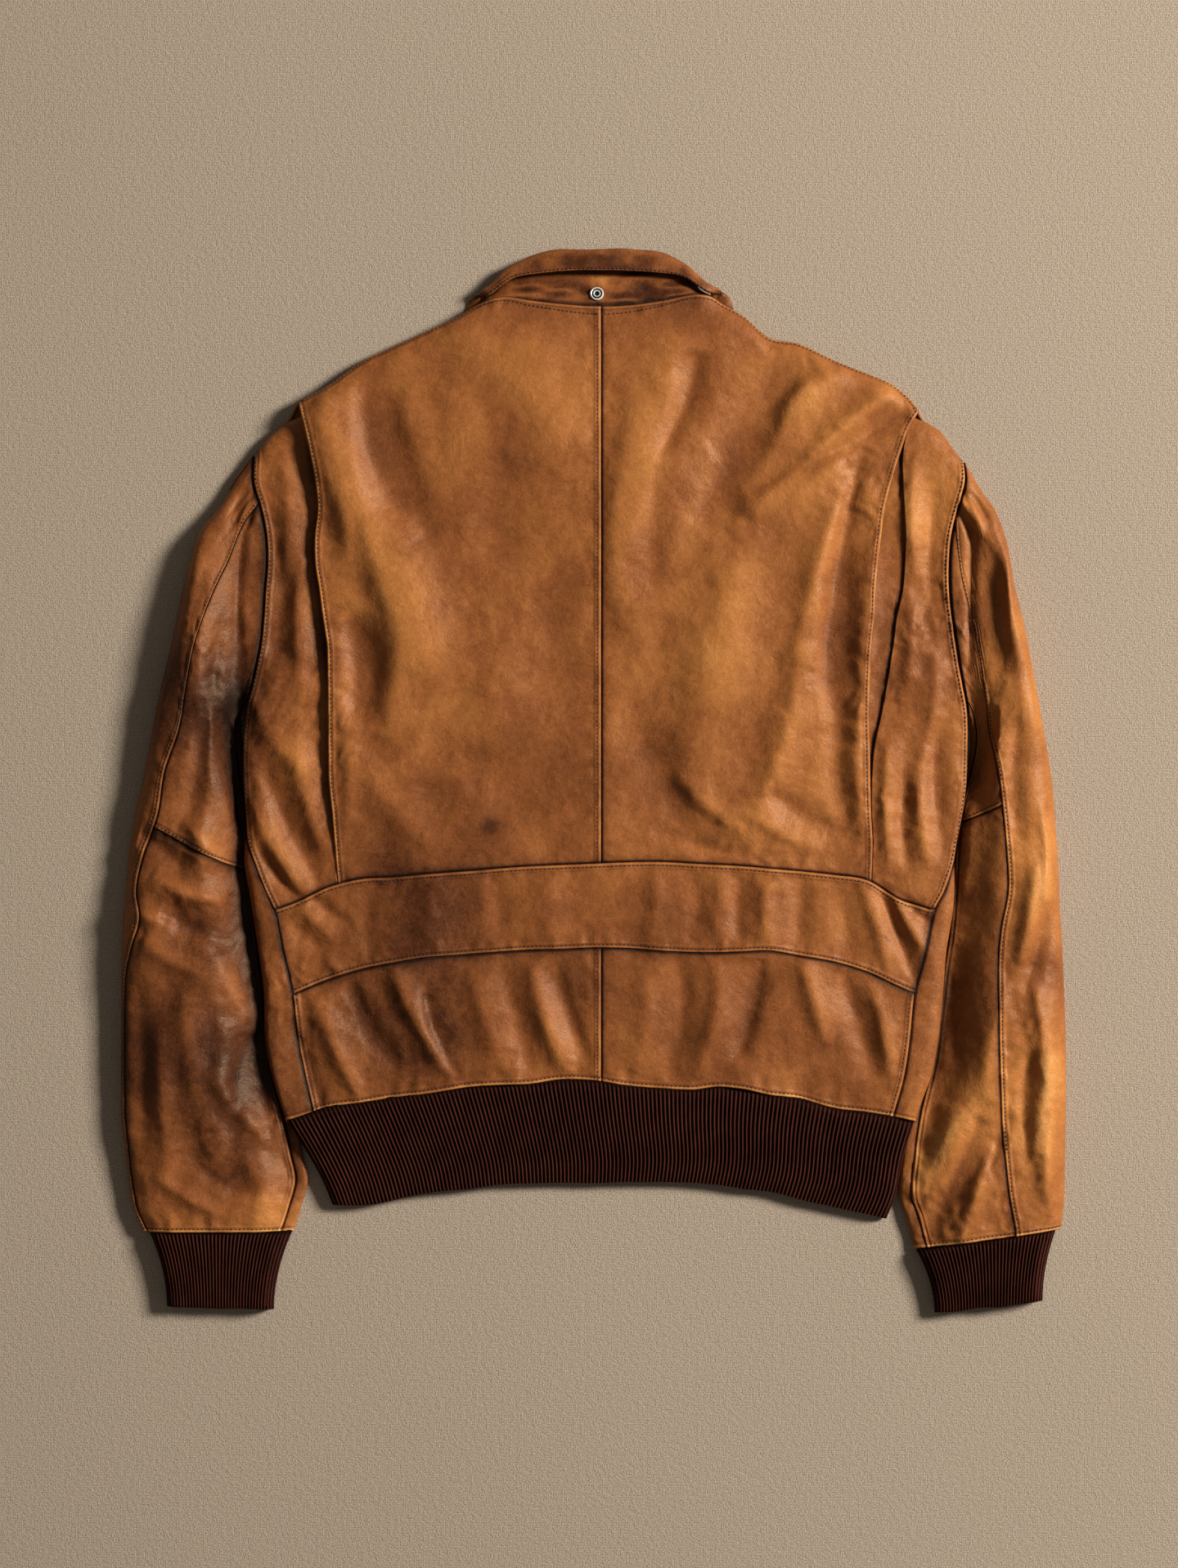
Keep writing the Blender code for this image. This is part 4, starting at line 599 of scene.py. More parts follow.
def makeSheet(name, places, marks, look, node, cut, wall=leatherWall, turned=False):
    # A grid primitive takes these places, rows by columns, and grows inwards into a wall.
    places = places.copy()
    places[..., 2] = np.maximum(places[..., 2], aboveFloor)
    if turned:  # so that the sheet's faces look out
        marks = {mark: (amount + 0 * places[..., 0])[:, ::-1] for mark, amount in marks.items()}
        places = places[:, ::-1]
    rows, columns = places.shape[:2]
    bpy.ops.object.select_all(action="DESELECT")
    bpy.ops.mesh.primitive_grid_add(x_subdivisions=columns - 1, y_subdivisions=rows - 1, size=1)
    piece = bpy.context.object
    piece.name = name
    mesh = piece.data
    mesh.vertices.foreach_set("co", ((places.reshape(-1, 3) - middle) * mm).astype(np.float32).reshape(-1))
    mesh.update()
    for mark, amount in marks.items():
        values = np.broadcast_to(amount, places.shape[:2]).astype(np.float32)
        mesh.attributes.new(mark, "FLOAT", "POINT").data.foreach_set("value", values.reshape(-1))
    stepAcross = np.linalg.norm(np.diff(places, axis=1), axis=2)
    stepUp = np.linalg.norm(np.diff(places, axis=0), axis=2)
    runAcross = np.concatenate([np.zeros((rows, 1)), np.cumsum(stepAcross, axis=1)], axis=1)
    runUp = np.concatenate([np.zeros((1, columns)), np.cumsum(stepUp, axis=0)], axis=0)
    corners = np.empty(len(mesh.loops), np.int32)
    mesh.loops.foreach_get("vertex_index", corners)
    flat = np.stack([runAcross.reshape(-1), runUp.reshape(-1)], axis=1)[corners] * mm
    mesh.uv_layers.active.data.foreach_set("uv", flat.astype(np.float32).reshape(-1))
    growth = piece.modifiers.new("wall", "SOLIDIFY")
    growth.thickness, growth.offset = wall * mm, -1
    bpy.ops.object.modifier_apply(modifier=growth.name)
    bpy.ops.object.shade_smooth()
    dress(piece, "jacket", look, node)
    width, length, share = cut
    width * length * share


def stitchRow(surface, side, inset=seamForm["stitchIn"], outward=1):
    # Threads along one side of a sheet, each with its middle, its direction and the way that the sheet faces.
    t = np.linspace(0, 1, 500)
    none, full, small = 0 * t, 0 * t + 1, 0.04
    edge = {"left": (none, t), "right": (full, t), "low": (t, none), "high": (t, full)}[side]
    inner = {"left": (small, 0), "right": (-small, 0), "low": (0, small), "high": (0, -small)}[side]
    rim = surface(*edge)
    apart = np.linalg.norm(surface(edge[0] + inner[0], edge[1] + inner[1]) - rim, axis=-1)
    share = (inset(rim[:, 0]) if callable(inset) else inset) / apart
    u, v = edge[0] + inner[0] * share, edge[1] + inner[1] * share
    places = surface(u, v)
    run = np.concatenate([[0], np.cumsum(np.linalg.norm(np.diff(places, axis=0), axis=1))])
    at = (np.arange(int(run[-1] / seamForm["stitchPitch"])) + 0.5) * seamForm["stitchPitch"]
    if len(at) < 3:  # a row too short for threads, as at the left cuff beside the sleeve's outer edge
        return
    u, v = np.interp(at, run, u), np.interp(at, run, v)
    places = surface(u, v)
    ahead = np.gradient(places, axis=0)
    ahead /= np.linalg.norm(ahead, axis=1, keepdims=True)
    small = 0.004
    aside = surface(u + small, v) - surface(u - small, v)
    onward = surface(u, v + small) - surface(u, v - small)
    out = np.cross(aside, onward)
    out *= outward / np.linalg.norm(out, axis=1, keepdims=True)
    out -= ahead * (out * ahead).sum(axis=1, keepdims=True)
    out /= np.linalg.norm(out, axis=1, keepdims=True)
    stitchPlaces.append(np.stack([places, ahead, out], axis=1))


# The back

backForm = dict(seamX=4.7, neckX=3, shoulderRim=5, sideRim=10.4, sideRound=10, deepest=5.4, highest=9)


def neckShare(x):
    return 1 - ease((abs(x - backForm["neckX"]) - 76) / 20)


def aboveBelt(x, y):
    return ease((y - acrossBack.at("belt_top", x) - 2) / 42)


armholeForm = dict(low=50, high=238)  # between these heights a sleeve lies joined to the torso


def belowCrossing(y):  # 1 below the armhole, where the torso's edge lies free
    return 1 - ease((y - armholeForm["low"] + 12) / 30)


def lowerBack(x, y):
    return mix(heights.at("middle", y), heights.at("side", y), ease((abs(x - backForm["seamX"]) - 130) / 80))


def sideRim(x, y, high):
    edge = np.where(x < 0, torso.at("side_left", y), torso.at("side_right", y))
    rim = mix(high, backForm["sideRim"], belowCrossing(y))
    return rim + (high - rim) * rounded(abs(edge) - abs(x), backForm["sideRound"])


def soft(x, y):  # all the folds together, kept within what the layers have room for
    rise = creases(x, y) + slack(x, y)
    most = np.where(rise < 0, backForm["deepest"], backForm["highest"])
    return most * np.tanh(rise / most)


def middleHeight(x, y):
    crowned = heights.at("middle", y) - 1.2 * (abs(x - backForm["seamX"]) / 200) ** 2
    high = mix(lowerBack(x, y), crowned, aboveBelt(x, y))
    top = acrossBack.at("top", x)
    rim = mix(backForm["shoulderRim"], heights.at("middle", 360), neckShare(x))
    share = rounded(0.87 * (top - y), mix(15, 40, neckShare(x)))
    return rim + (high + soft(x, y) - rim) * share


def pleatOpen(y):  # 1 where a pleat stands open, 0 at the belt and the shoulder
    return ease((y + 50) / 50) * ease((262 - y) / 30)


def leftTrough(x, y, reach):  # how far down the side panel lies beside the left back panel's edge
    uneven = 0.55 + 0.45 * drift(y, 0 * y, 34, 23)
    return bell(np.maximum(torso.at("pleat_left", y) - x, 0), reach) * uneven * pleatOpen(y)


# Painted shade: the pleat is drawn darker along this line.
def foldLine(x, y):  # the dark line where the right pleat's inner fold lies on the pleat
    return bell(torso.at("fold_right", y) - 1 - x, 1.3) * pleatOpen(y)


def sideHeight(x, y):
    high = mix(lowerBack(x, y), heights.at("side", y), aboveBelt(x, y)) + soft(x, y)
    high = high - np.where(x < 0, 3.0 * leftTrough(x, y, 13), 0)
    rim = backForm["shoulderRim"]
    return sideRim(x, y, rim + (high - rim) * rounded(0.8 * (sideTop.at("top", x) - y), 15))


def belowHeight(x, y):
    return sideRim(x, y, lowerBack(x, y) + soft(x, y))


def line(table, name, shift=0.0):  # one column as an edge, moved this far
    return lambda along: table.at(name, along) + shift


def level(place):
    return lambda along: place + 0 * along


def sheetMarks(relief, seams, x, y, paintedShade=0, hidden=False):
    # Wear with painted highlight, painted shade with grime, and tone of a sheet with these seams,
    # each a kind, distance, run and random start. Ridges are painted lighter, as wear and as highlight,
    # and troughs darker as painted shade; the shade passed in is painted shadow too.
    wearAndHighlight, shadeAndGrime = 0.42 * ease((relief - 0.8) / 6.5), 0.34 * ease((-relief - 0.8) / 7) + paintedShade
    for seam in seams:
        more, dark = seamMarks(*seam)
        wearAndHighlight, shadeAndGrime = wearAndHighlight + np.where(hidden, 0, more), shadeAndGrime + np.where(hidden, 0, dark)
    return {"wearAndHighlight": wearAndHighlight, "shadeAndGrime": shadeAndGrime, "tone": toneOf(x, y)}


def neckStitch(x):  # the topstitch lies deepest below the middle of the collar
    return 2.6 + 3.4 * bell(x - 3, 52)


def flatPanel(name, node, edges, kinds, size, height, cut, sink=0.0, shade=None, neck=False):
    # A panel between its left, right, low and high edges, with a kind of seam on each.
    left, right, low, high = edges
    seams = dict(zip(("left", "right", "low", "high"), kinds))
    lap = {side: seamForm["lap"] if kind == "under" else -0.05 for side, kind in seams.items()}
    start = len(name)

    def lay(u, v):
        x = mix(left(0), right(0), u) + 0 * v
        for _ in range(4):
            y = mix(low(x) - lap["low"], high(x) + lap["high"], v)
            x = mix(left(y) - lap["left"], right(y) + lap["right"], u)
        followed = ((left, y), (right, y), (low, x), (high, x))
        slopes = [(edge(at + 1) - edge(at - 1)) / 2 for edge, at in followed]
        gaps = (x - left(y), right(y) - x, y - low(x), high(x) - y)
        apart = [gap / np.hypot(1, slope) for gap, slope in zip(gaps, slopes)]
        return x, y, [(kind, apart[number], y if number < 2 else x, start + number)
                      for number, kind in enumerate(kinds)]

    def surface(u, v):
        x, y, sewn = lay(u, v)
        z = height(x, y) - sink
        for seam in sewn:
            z = z + seamRise(*seam)
        return np.stack([x, y, z], axis=-1)

    u, v = np.meshgrid(spread(size[0]), spread(size[1]))
    x, y, sewn = lay(u, v)
    marks = sheetMarks(soft(x, y), sewn, x, y, shade(x, y) if shade else 0)
    makeSheet(name, surface(u, v), marks, (leather, "leather"), node, cut)
    for side, kind in seams.items():
        if kind in ("over", "worn"):
            stitchRow(surface, side, neckStitch if neck and side == "high" else seamForm["stitchIn"])


def buildBack():
    centre, nothing = level(backForm["seamX"]), (None,) * 4
    pleatLeft, pleatRight, foldRight, seamLeft, seamRight = (
        line(torso, name) for name in ("pleat_left", "pleat_right", "fold_right", "seam_left", "seam_right"))
    top, beltTop, beltLow, hem = (
        line(acrossBack, name) for name in ("top", "belt_top", "belt_bottom", "hem_seam"))
    sideHigh = line(sideTop, "top")
    panels = [
        dict(name="leatherBackLeft", node="back_left", edges=(pleatLeft, centre, beltTop, top),
             kinds=("worn", "over", "under", "over"), size=(200, 395), height=middleHeight, neck=True,
             cut=(0.23, 0.43, 0.86)),
        dict(name="leatherBackRight", node="back_right", edges=(centre, pleatRight, beltTop, top),
             kinds=("under", "over", "under", "over"), size=(200, 395), height=middleHeight, neck=True,
             cut=(0.24, 0.43, 0.84)),
        dict(name="leatherSideLeft", node="side_back_left",
             edges=(seamLeft, lambda y: pleatLeft(y) + 12 * ease((y + 30) / 40) * ease((262 - y) / 25),
                    beltTop, sideHigh),
             kinds=("over", None, "under", None), size=(60, 345), height=sideHeight, cut=(0.09, 0.37, 0.6),
             # painted shadow that the left back panel's edge casts on the side panel
             shade=lambda x, y: 0.35 * leftTrough(x, y, 10) + 0.7 * leftTrough(x, y, 2.5)),
        dict(name="leatherSideRight", node="side_back_right", edges=(foldRight, seamRight, beltTop, sideHigh),
             kinds=(None, "over", "under", None), size=(60, 345), height=sideHeight, cut=(0.09, 0.37, 0.55)),
        dict(name="pleatLeft", node="pleat_left",
             edges=(line(torso, "pleat_left", -8), line(torso, "pleat_left", 24), level(-5), level(238)),
             kinds=nothing, size=(30, 240), height=sideHeight, sink=1.6, cut=(0.04, 0.26, 0.8),
             # the pleat lies inside the fold and is painted darker all over as shade
             shade=lambda x, y: 0.6 + 0 * x),
        dict(name="pleatRight", node="pleat_right",
             edges=(line(torso, "pleat_right", -14), line(torso, "fold_right", 10), level(-12), level(258)),
             kinds=nothing, size=(30, 260), height=sideHeight, sink=1.7, cut=(0.05, 0.28, 0.8),
             # painted shade over the pleat, darkest along its inner fold
             shade=lambda x, y: 0.12 + 0.8 * foldLine(x, y)),
        dict(name="leatherBelt", node="belt_back", edges=(seamLeft, seamRight, beltLow, beltTop),
             kinds=("under", "under", "over", "over"), size=(490, 68), height=belowHeight,
             cut=(0.52, 0.11, 0.62)),
        dict(name="leatherLowLeft", node="lower_back_left", edges=(seamLeft, centre, hem, beltLow),
             kinds=("over", "over", "worn", "under"), size=(230, 100), height=belowHeight,
             cut=(0.25, 0.13, 0.72)),
        dict(name="leatherLowRight", node="lower_back_right", edges=(centre, seamRight, hem, beltLow),
             kinds=("under", "over", "worn", "under"), size=(230, 100), height=belowHeight,
             cut=(0.25, 0.13, 0.72)),
    ]
    for panel in panels:
        flatPanel(**panel)


# Fronts, wrapped round the sides

zipMiddle = 2.0  # the zip runs a little to the right of the centre
frontForm = dict(roll=10, rollRun=12, tuck=5, tuckRun=6.5, zipGap=4.2, sleeveRoom=7.3, zipRoom=2.6)


def overZip(x):  # how far the layer next to the floor is lifted by the zip
    return frontForm["zipRoom"] * (1 - ease((abs(x - zipMiddle) - 18) / 14))


def frontHem(x):
    return -250.5 + 4.5 * ease((200 - abs(x)) / 120)


def underHeight(x, y, side):
    distance = abs(torso.at(side, y) - x)
    crossing = (1 - ease((y - armholeForm["low"]) / 40)) * (1 - ease((distance - 14) / 26))
    overCollar = frontForm["zipRoom"] * (1 - ease((np.hypot((x - 2.5) / 1.05, y - 350) - 136) / 16))
    return np.maximum(np.maximum(frontForm["sleeveRoom"] * crossing, overZip(x)), overCollar)


def frontTop(x):
    inner, outer = np.where(x < 0, 218, 236), np.where(x < 0, 228, 244)
    shoulder = mix(acrossBack.at("top", x), sideTop.at("top", x), ease((abs(x) - inner) / (outer - inner)))
    apart = abs(x - zipMiddle)
    return np.where(apart < 86, neckline.at("low", apart), shoulder - 7 * bell(apart - 91, 9))


def buildFront(name, node, sign):
    side, seamSide = ("side_left", "seam_left") if sign < 0 else ("side_right", "seam_right")
    roll, rollRun, tuck, tuckRun = (frontForm[part] for part in ("roll", "rollRun", "tuck", "tuckRun"))
    lap = seamForm["lap"]

    def lay(u, v):  # from the side seam on the back, round the side's edge and under to the zip
        x, past = sign * mix(230, 10, u), 0 * u
        for _ in range(6):
            low = mix(frontHem(x), acrossBack.at("hem_seam", x), ease(past / 4))
            y = mix(low + 0.3, frontTop(x) - 0.03, v)
            edge = torso.at(side, y)
            over = abs(edge - torso.at(seamSide, y))
            end = rollRun * np.arccos(1 - np.minimum(over / roll, 1)) / (pi / 2) + np.maximum(over - roll, 0)
            end = end + ease(over / 3) * lap - (1 - ease(over / 3)) * 3
            past = mix(end, -(tuckRun + abs(edge - zipMiddle) - tuck - frontForm["zipGap"]), u)
            arc, radius = np.where(past > 0, rollRun, tuckRun), np.where(past > 0, roll, tuck)
            turn = np.minimum(abs(past) / arc, 1) * pi / 2
            x = edge - sign * (radius * (1 - np.cos(turn)) + np.maximum(abs(past) - arc, 0))
        return x, y, past, turn, end - past, low

    reaches = np.concatenate([np.linspace(0, 0.24, 52)[:-1], np.linspace(0.24, 1, 22)])
    x, y, past, turn, inside, low = lay(*np.meshgrid(reaches, spread(500, coarse=2.8, fine=0.9, end=False)))
    hem, seam = ("worn", y - low, x, 44), ("under", inside - lap, y, 40 + sign)
    base = underHeight(x, y, side)
    shoulder = (3.9 - base) * (1 - rounded(0.85 * (frontTop(x) - y), 6)) * (1 - neckShare(x))
    rim = backForm["sideRim"]
    under = base + np.maximum((rim - base) * belowCrossing(y) * (1 - np.sin(turn)), shoulder)
    flat = ease((inside - lap) / 2) * ease(y / -60 + 0.3)
    top = belowHeight(x, y) + seamRise("under", np.where(past > 0, inside - lap, 99), y, 40 + sign)
    top = top + np.where(past > 0, seamRise("over", y - low, x, 44) * flat, 0)
    places = np.stack([x, y, np.where(past > 0, top, under)], axis=-1)
    marks = sheetMarks(soft(x, y), (hem, seam), x, y)
    makeSheet(name, places, marks, (leather, "leather"), node, (0.31, 0.62, 0.8), turned=sign < 0)


# Sleeves

# Where the torso's edge lies on a sleeve: how far that reaches along and into it, how deep the sleeve sinks
# there, and how dark the painted shadow of the torso's edge is.
sleeveContact = dict(top=86, low=-262, blend=50, deep=3.0, reachLeft=11, reachRight=5,
                     shadowLeft=1.0, shadowRight=0.6)
sleeveForm = dict(rimInner=4, rimOuter=26, rimUnder=7, rise=34, seamIn=9, wallGap=2.8, crinkle=0.7)


def sideEdge(side, y):
    return torso.at("side_left" if side < 0 else "side_right", y)


def roundToAlong(roundIt):  # 0 at the inner edge, 1 at the outer edge, and back again underneath
    return (1 - np.cos(pi * roundIt)) / 2


def ringLine(size, along, side):
    reachX, reachY = size["outer_x"] - size["inner_x"], size["outer_y"] - size["inner_y"]
    length = np.hypot(reachX, reachY)
    bow = size["bow"] * 6.75 * along * (1 - along) ** 2 * -side
    x = size["inner_x"] + reachX * along + bow * reachY / length
    y = size["inner_y"] + reachY * along - bow * reachX / length
    low, high = armholeForm["low"], armholeForm["high"]
    straight = mix(sideEdge(side, low), sideEdge(side, high), (y - low) / (high - low))
    x = x + np.maximum(size["armhole"], 0) * (sideEdge(side, y) - straight)
    return x + leatherWall * side, y, length


def contactAt(x, y, side):  # 1 beside the torso's edge, 0 away from it
    apart = np.maximum(side * x - side * sideEdge(side, y), 0)
    reach = sleeveContact["reachLeft" if side < 0 else "reachRight"]
    top, low, blend = (sleeveContact[name] for name in ("top", "low", "blend"))
    return bell(apart, reach) * ease((top - y) / blend) * ease((y - low) / blend)


def buildSleeve(word, table, elbow, side, cross, flatTop, flatUpper, flatLower):
    last = len(table.rows) - 1
    seamIn = sleeveForm["seamIn"]

    def elbowRound(ring):
        size, near, far = table.all(ring), 0 * ring, 0 * ring + 1
        for _ in range(14):
            half = (near + far) / 2
            x, y, _ = ringLine(size, half, side)
            inside = side * (x - elbow.at("seam", y)) < 0
            near, far = np.where(inside, half, near), np.where(inside, far, half)
        return np.arccos(1 - 2 * near) / pi

    def lengthOf(ring):
        size = table.all(ring)
        return np.hypot(size["outer_x"] - size["inner_x"], size["outer_y"] - size["inner_y"])

    rings = np.linspace(0, last, 600)
    size = table.all(rings)
    outerRun = np.hypot(np.gradient(size["outer_x"]), np.gradient(size["outer_y"]))
    innerRun = np.hypot(np.gradient(size["inner_x"]), np.gradient(size["inner_y"]))
    run = np.concatenate([[0], np.cumsum((outerRun + innerRun)[1:] / 2)])
    elbows, inners = elbowRound(rings), np.arccos(1 - 2 * seamIn / lengthOf(rings)) / pi

    def runAt(ring):
        return np.interp(ring, rings, run)

    def elbowAt(ring):
        return np.interp(ring, rings, elbows)

    def innerAt(ring):
        return np.interp(ring, rings, inners)

    def form(roundIt, ring):
        size = table.all(ring)
        below = (roundIt > 1) & (roundIt <= 2)
        along = roundToAlong(roundIt)
        x, y, length = ringLine(size, along, side)
        inward, outward = along * length, (1 - along) * length
        rimIn, rimOut = size["rim_in"], size["rim_out"]
        inner, edge = rounded(inward, sleeveForm["rimInner"]), np.minimum(inward, outward)
        under = np.maximum(rimIn - 4.0, 0) * (1 - ease(inward / 40))
        under = mix(rimOut, mix(rimIn, under, inner), rounded(outward, sleeveForm["rimUnder"]))
        low = rimIn + 3.1
        tuck = 12 * (1 - ease((rimIn - 3.2) / 1.8))
        z = mix(rimIn, low, inner) + (size["crown"] - low) * ease((inward - tuck) / sleeveForm["rise"])
        z = mix(rimOut, z, rounded(outward, sleeveForm["rimOuter"]))
        armhole = np.clip(size["armhole"], 0, 1)
        startX, startY, _ = ringLine({name: table.at(name, 0 * ring) for name in size}, along, side)
        z = mix(z, sideHeight(startX, startY), armhole)
        free = rounded(edge, 14) * (1 - armhole ** 4)
        crinkle = 1 - 2 * abs(drift(x * 0.8 + y * 0.5, y * 0.9 - x * 0.4, 15, 6 + side))
        z = z + (soft(x, y) + sleeveForm["crinkle"] * crinkle * drift(x, y, 40, 7)) * free
        z = z - sleeveContact["deep"] * contactAt(x, y, side) * free
        z = np.maximum(z, under + sleeveForm["wallGap"] * rounded(edge, 4))
        return x, y, np.where(below, under, z), inward, below

    def piece(part, node, u, start, end, roundAt, seamsOf, cut):
        runs = np.linspace(runAt(start), runAt(end), 200)

        def surface(u, v):
            ring = np.interp(np.clip(v, 0, 1), np.linspace(0, 1, 200), np.interp(runs, run, rings))
            roundIt = roundAt(u, ring) % 2
            x, y, z, inward, below = form(roundIt, ring)
            sewn = seamsOf(roundIt, ring, inward)
            rise = sum(np.where(below, 0, seamRise(*seam)) for seam in sewn)
            return np.stack([x, y, z + rise], axis=-1), sewn, below

        places, sewn, below = surface(*np.meshgrid(u, spread(runs[-1] - runs[0], coarse=2.4, fine=0.9)))
        x, y = places[..., 0], places[..., 1]
        # painted shadow of the torso's edge on the sleeve, darkest beside it
        paintedShade = sleeveContact["shadowLeft" if side < 0 else "shadowRight"] * contactAt(x, y, side)
        marks = sheetMarks(np.where(below, 0, soft(x, y)), sewn, x, y, paintedShade, below)
        makeSheet(f"leatherSleeve{part}{word.title()}", places, marks, (leather, "leather"), f"{node}_{word}",
                  cut, turned=side > 0)
        return lambda u, v: surface(u, v)[0]

    def topSeams(roundIt, ring, inward):
        along, at = roundToAlong(roundIt), runAt(ring)
        pastElbow = (along - roundToAlong(elbowAt(ring))) * lengthOf(ring)
        inner = roundIt < innerAt(ring) + 0.05
        return [("over", np.where(inner, 99, pastElbow), at, 50 + side),
                ("under", np.where(inner, seamIn - inward, 99), at, 53 + side),
                ("under", at, along * 150, 55 + side), ("worn", run[-1] - at, along * 120, 57 + side)]

    def underSeams(roundIt, ring, inward):
        along, at = roundToAlong(roundIt), runAt(ring)
        toElbow = (roundToAlong(elbowAt(ring)) - along) * lengthOf(ring)
        toCross = (runAt(cross) - at) * 0.75
        return [("under", toElbow, at, 60 + side), ("over", inward - seamIn, at, 63 + side),
                ("under", at, along * 150, 55 + side),
                ("over", np.where(toCross > 0, toCross, 99), along * 90, 67 + side),
                ("under", np.where(toCross > 0, 99, -toCross), along * 90, 69 + side),
                ("worn", run[-1] - at, along * 120, 57 + side)]

    def overAndUnder(u, ring):
        past = np.where(u <= 2, u, mix(2, 2 + innerAt(ring), u - 2))
        return np.where(u < 1, mix(elbowAt(ring), 1, u), past)

    def between(u, ring):
        return mix(innerAt(ring), elbowAt(ring), u)

    roundTop = np.concatenate([spread(90, 2.2, 0.8, end=False), 1 + np.linspace(0, 1, 34)[1:],
                               2 + np.linspace(0, 1, 9)[1:]])
    roundUnder = spread(95, 2.2)
    top = piece("Top", "sleeve_top", roundTop, 0, last, overAndUnder, topSeams, flatTop)
    upper = piece("Upper", "sleeve_under_upper", roundUnder, 0, cross, between, underSeams, flatUpper)
    lower = piece("Lower", "sleeve_under_lower", roundUnder, cross, last, between, underSeams, flatLower)
    stitchRow(top, "left", outward=-side)
    for surface in (lambda u, v: top(0.98 * u, v), lower, upper):
        stitchRow(surface, "high", outward=-side)


# Rib knit

ribForm = dict(depth=1.0, wall=2.0, pointsOver=6, pointsUnder=3, hemRibs=148, cuffRibs=36)


def buildRib(name, node, corners, crowns, rims, drop, ribs, rows, span, cut, isHem):
    def surface(turn, v):
        (outerX, outerY), (innerX, innerY) = corners(v)
        turn = turn % 2
        along = roundToAlong(turn)
        x, y = mix(innerX, outerX, along), mix(innerY, outerY, along)
        length = np.hypot(outerX - innerX, outerY - innerY)
        edge = np.minimum(along, 1 - along) * length
        y = drop(x, y, along, v, turn)
        rim = rims(y)
        floor = np.where(rim > 8, (rim - 3.5) * (1 - ease((edge - 14) / 26)), 0)
        if isHem:
            floor = np.maximum(floor, overZip(x))
        under = mix(rim, floor, rounded(edge, 7))
        over = mix(rim, np.maximum(crowns(v), rim + 3.5), rounded(edge, 12))
        waves = 0.7 * drift(x, y * 0.5, 30, 8) + 0.5 * drift(x, y * 0.3, 12, 9) * (1 - v)
        # the knit is drawn in where the leather is sewn to it, and rolls over at its free edge
        ends = 1.6 * (1 - ease(v / 0.12)) + 1.3 * (1 - rounded(1 - v, 0.07))
        ribRise = ribForm["depth"] * np.cos(2 * pi * ribs * along) * (0.2 + 0.8 * ease((v - 0.02) / 0.07))
        over, under = over + (waves + ribRise - ends + 0.5) * rounded(edge, 6), under + 0.35 * ribRise - 0.35
        return np.stack([x, y, np.where(turn <= 1, over, under)], axis=-1)

    turn, v = np.meshgrid(span(ribs), np.linspace(0, 1, rows))
    places = surface(turn, v)
    shade = 0.12 * drift(places[..., 0], places[..., 1], 35, 12)
    # painted shade in the valleys between the ribs and along the seam under the leather
    valley = 0.5 - 0.5 * np.cos(2 * pi * ribs * roundToAlong(turn))
    marks = {"wearAndHighlight": 0 * turn, "shadeAndGrime": valley + 0.8 * (1 - ease(v / 0.06)), "tone": shade}
    makeSheet(name, places, marks, (knit, "knit"), node, cut, ribForm["wall"], turned=True)


def evenTurns(start, end, count):  # turns of a flattened loop that lie evenly across it
    along = np.linspace((1 - cos(pi * start)) / 2, (1 - cos(pi * end)) / 2, count)
    return np.arccos(np.clip(1 - 2 * along, -1, 1)) / pi


def buildRibs():
    def hemCorners(v):
        size = ribSides.all(v)
        return (size["right_x"], size["right_y"]), (size["left_x"], size["left_y"])

    def hemDrop(x, y, along, v, turn):
        (topRight, _), (topLeft, _) = hemCorners(0 * v)
        (lowRight, _), (lowLeft, _) = hemCorners(0 * v + 1)
        start = acrossBack.at("hem_seam", mix(topLeft, topRight, along))
        start = np.where(turn > 1, frontHem(x), start)
        end = acrossBack.at("rib_edge", mix(lowLeft, lowRight, along))
        return mix(start + 1.2, end + 0.9 * drift(x, 0 * x, 22, 13), v)

    def hemSpan(ribs):
        over = evenTurns(1, 0, ribs * ribForm["pointsOver"] + 1)
        under = ribs * ribForm["pointsUnder"]
        # from the zip to the left side, over the back to the right side, and back to the zip
        leftUnder = 2 - evenTurns(0, 1, under + 1)[:under // 2 - 2]
        rightUnder = 2 - evenTurns(0, 1, under + 1)[under // 2 + 2:]
        return np.concatenate([leftUnder[::-1] % 2, over[::-1][1:], rightUnder[::-1][1:] % 2])

    buildRib("knitHem", "hem_rib", hemCorners, lambda v: 14.4 - 4.6 * v,
             lambda y: 4 + 7.2 * (1 - ease((-262 - y) / 32)), hemDrop, ribForm["hemRibs"], 20, hemSpan,
             (0.92, 0.085, 0.95), True)
    for word, number in (("Left", 0.0), ("Right", 1.0)):
        size = cuffEnds.all(number)

        def cuffCorners(v):
            quick = 1 - (1 - v) ** 1.9
            return tuple((mix(size[end + "_x"], size["end_" + end + "_x"], quick),
                          mix(size[end + "_y"], size["end_" + end + "_y"], v)) for end in ("outer", "inner"))

        def cuffSpan(ribs):
            turns = np.concatenate([evenTurns(0, 1, ribs * ribForm["pointsOver"] + 1),
                                    2 - evenTurns(1, 0, ribs * ribForm["pointsUnder"] + 1)[1:] % 2])
            return turns if number > 0.5 else turns[::-1]

        buildRib("knitCuff" + word, "cuff_" + word.lower(), cuffCorners, lambda v: 15.4 - 2.2 * v,
                 lambda y: 6.2 + 0 * y,
                 lambda x, y, along, v, turn: y + mix(1.4, 0.8 * drift(x, 0 * x, 16, 14), v),
                 ribForm["cuffRibs"], 22, cuffSpan, (0.24, 0.06, 1.0), False)


# Collar

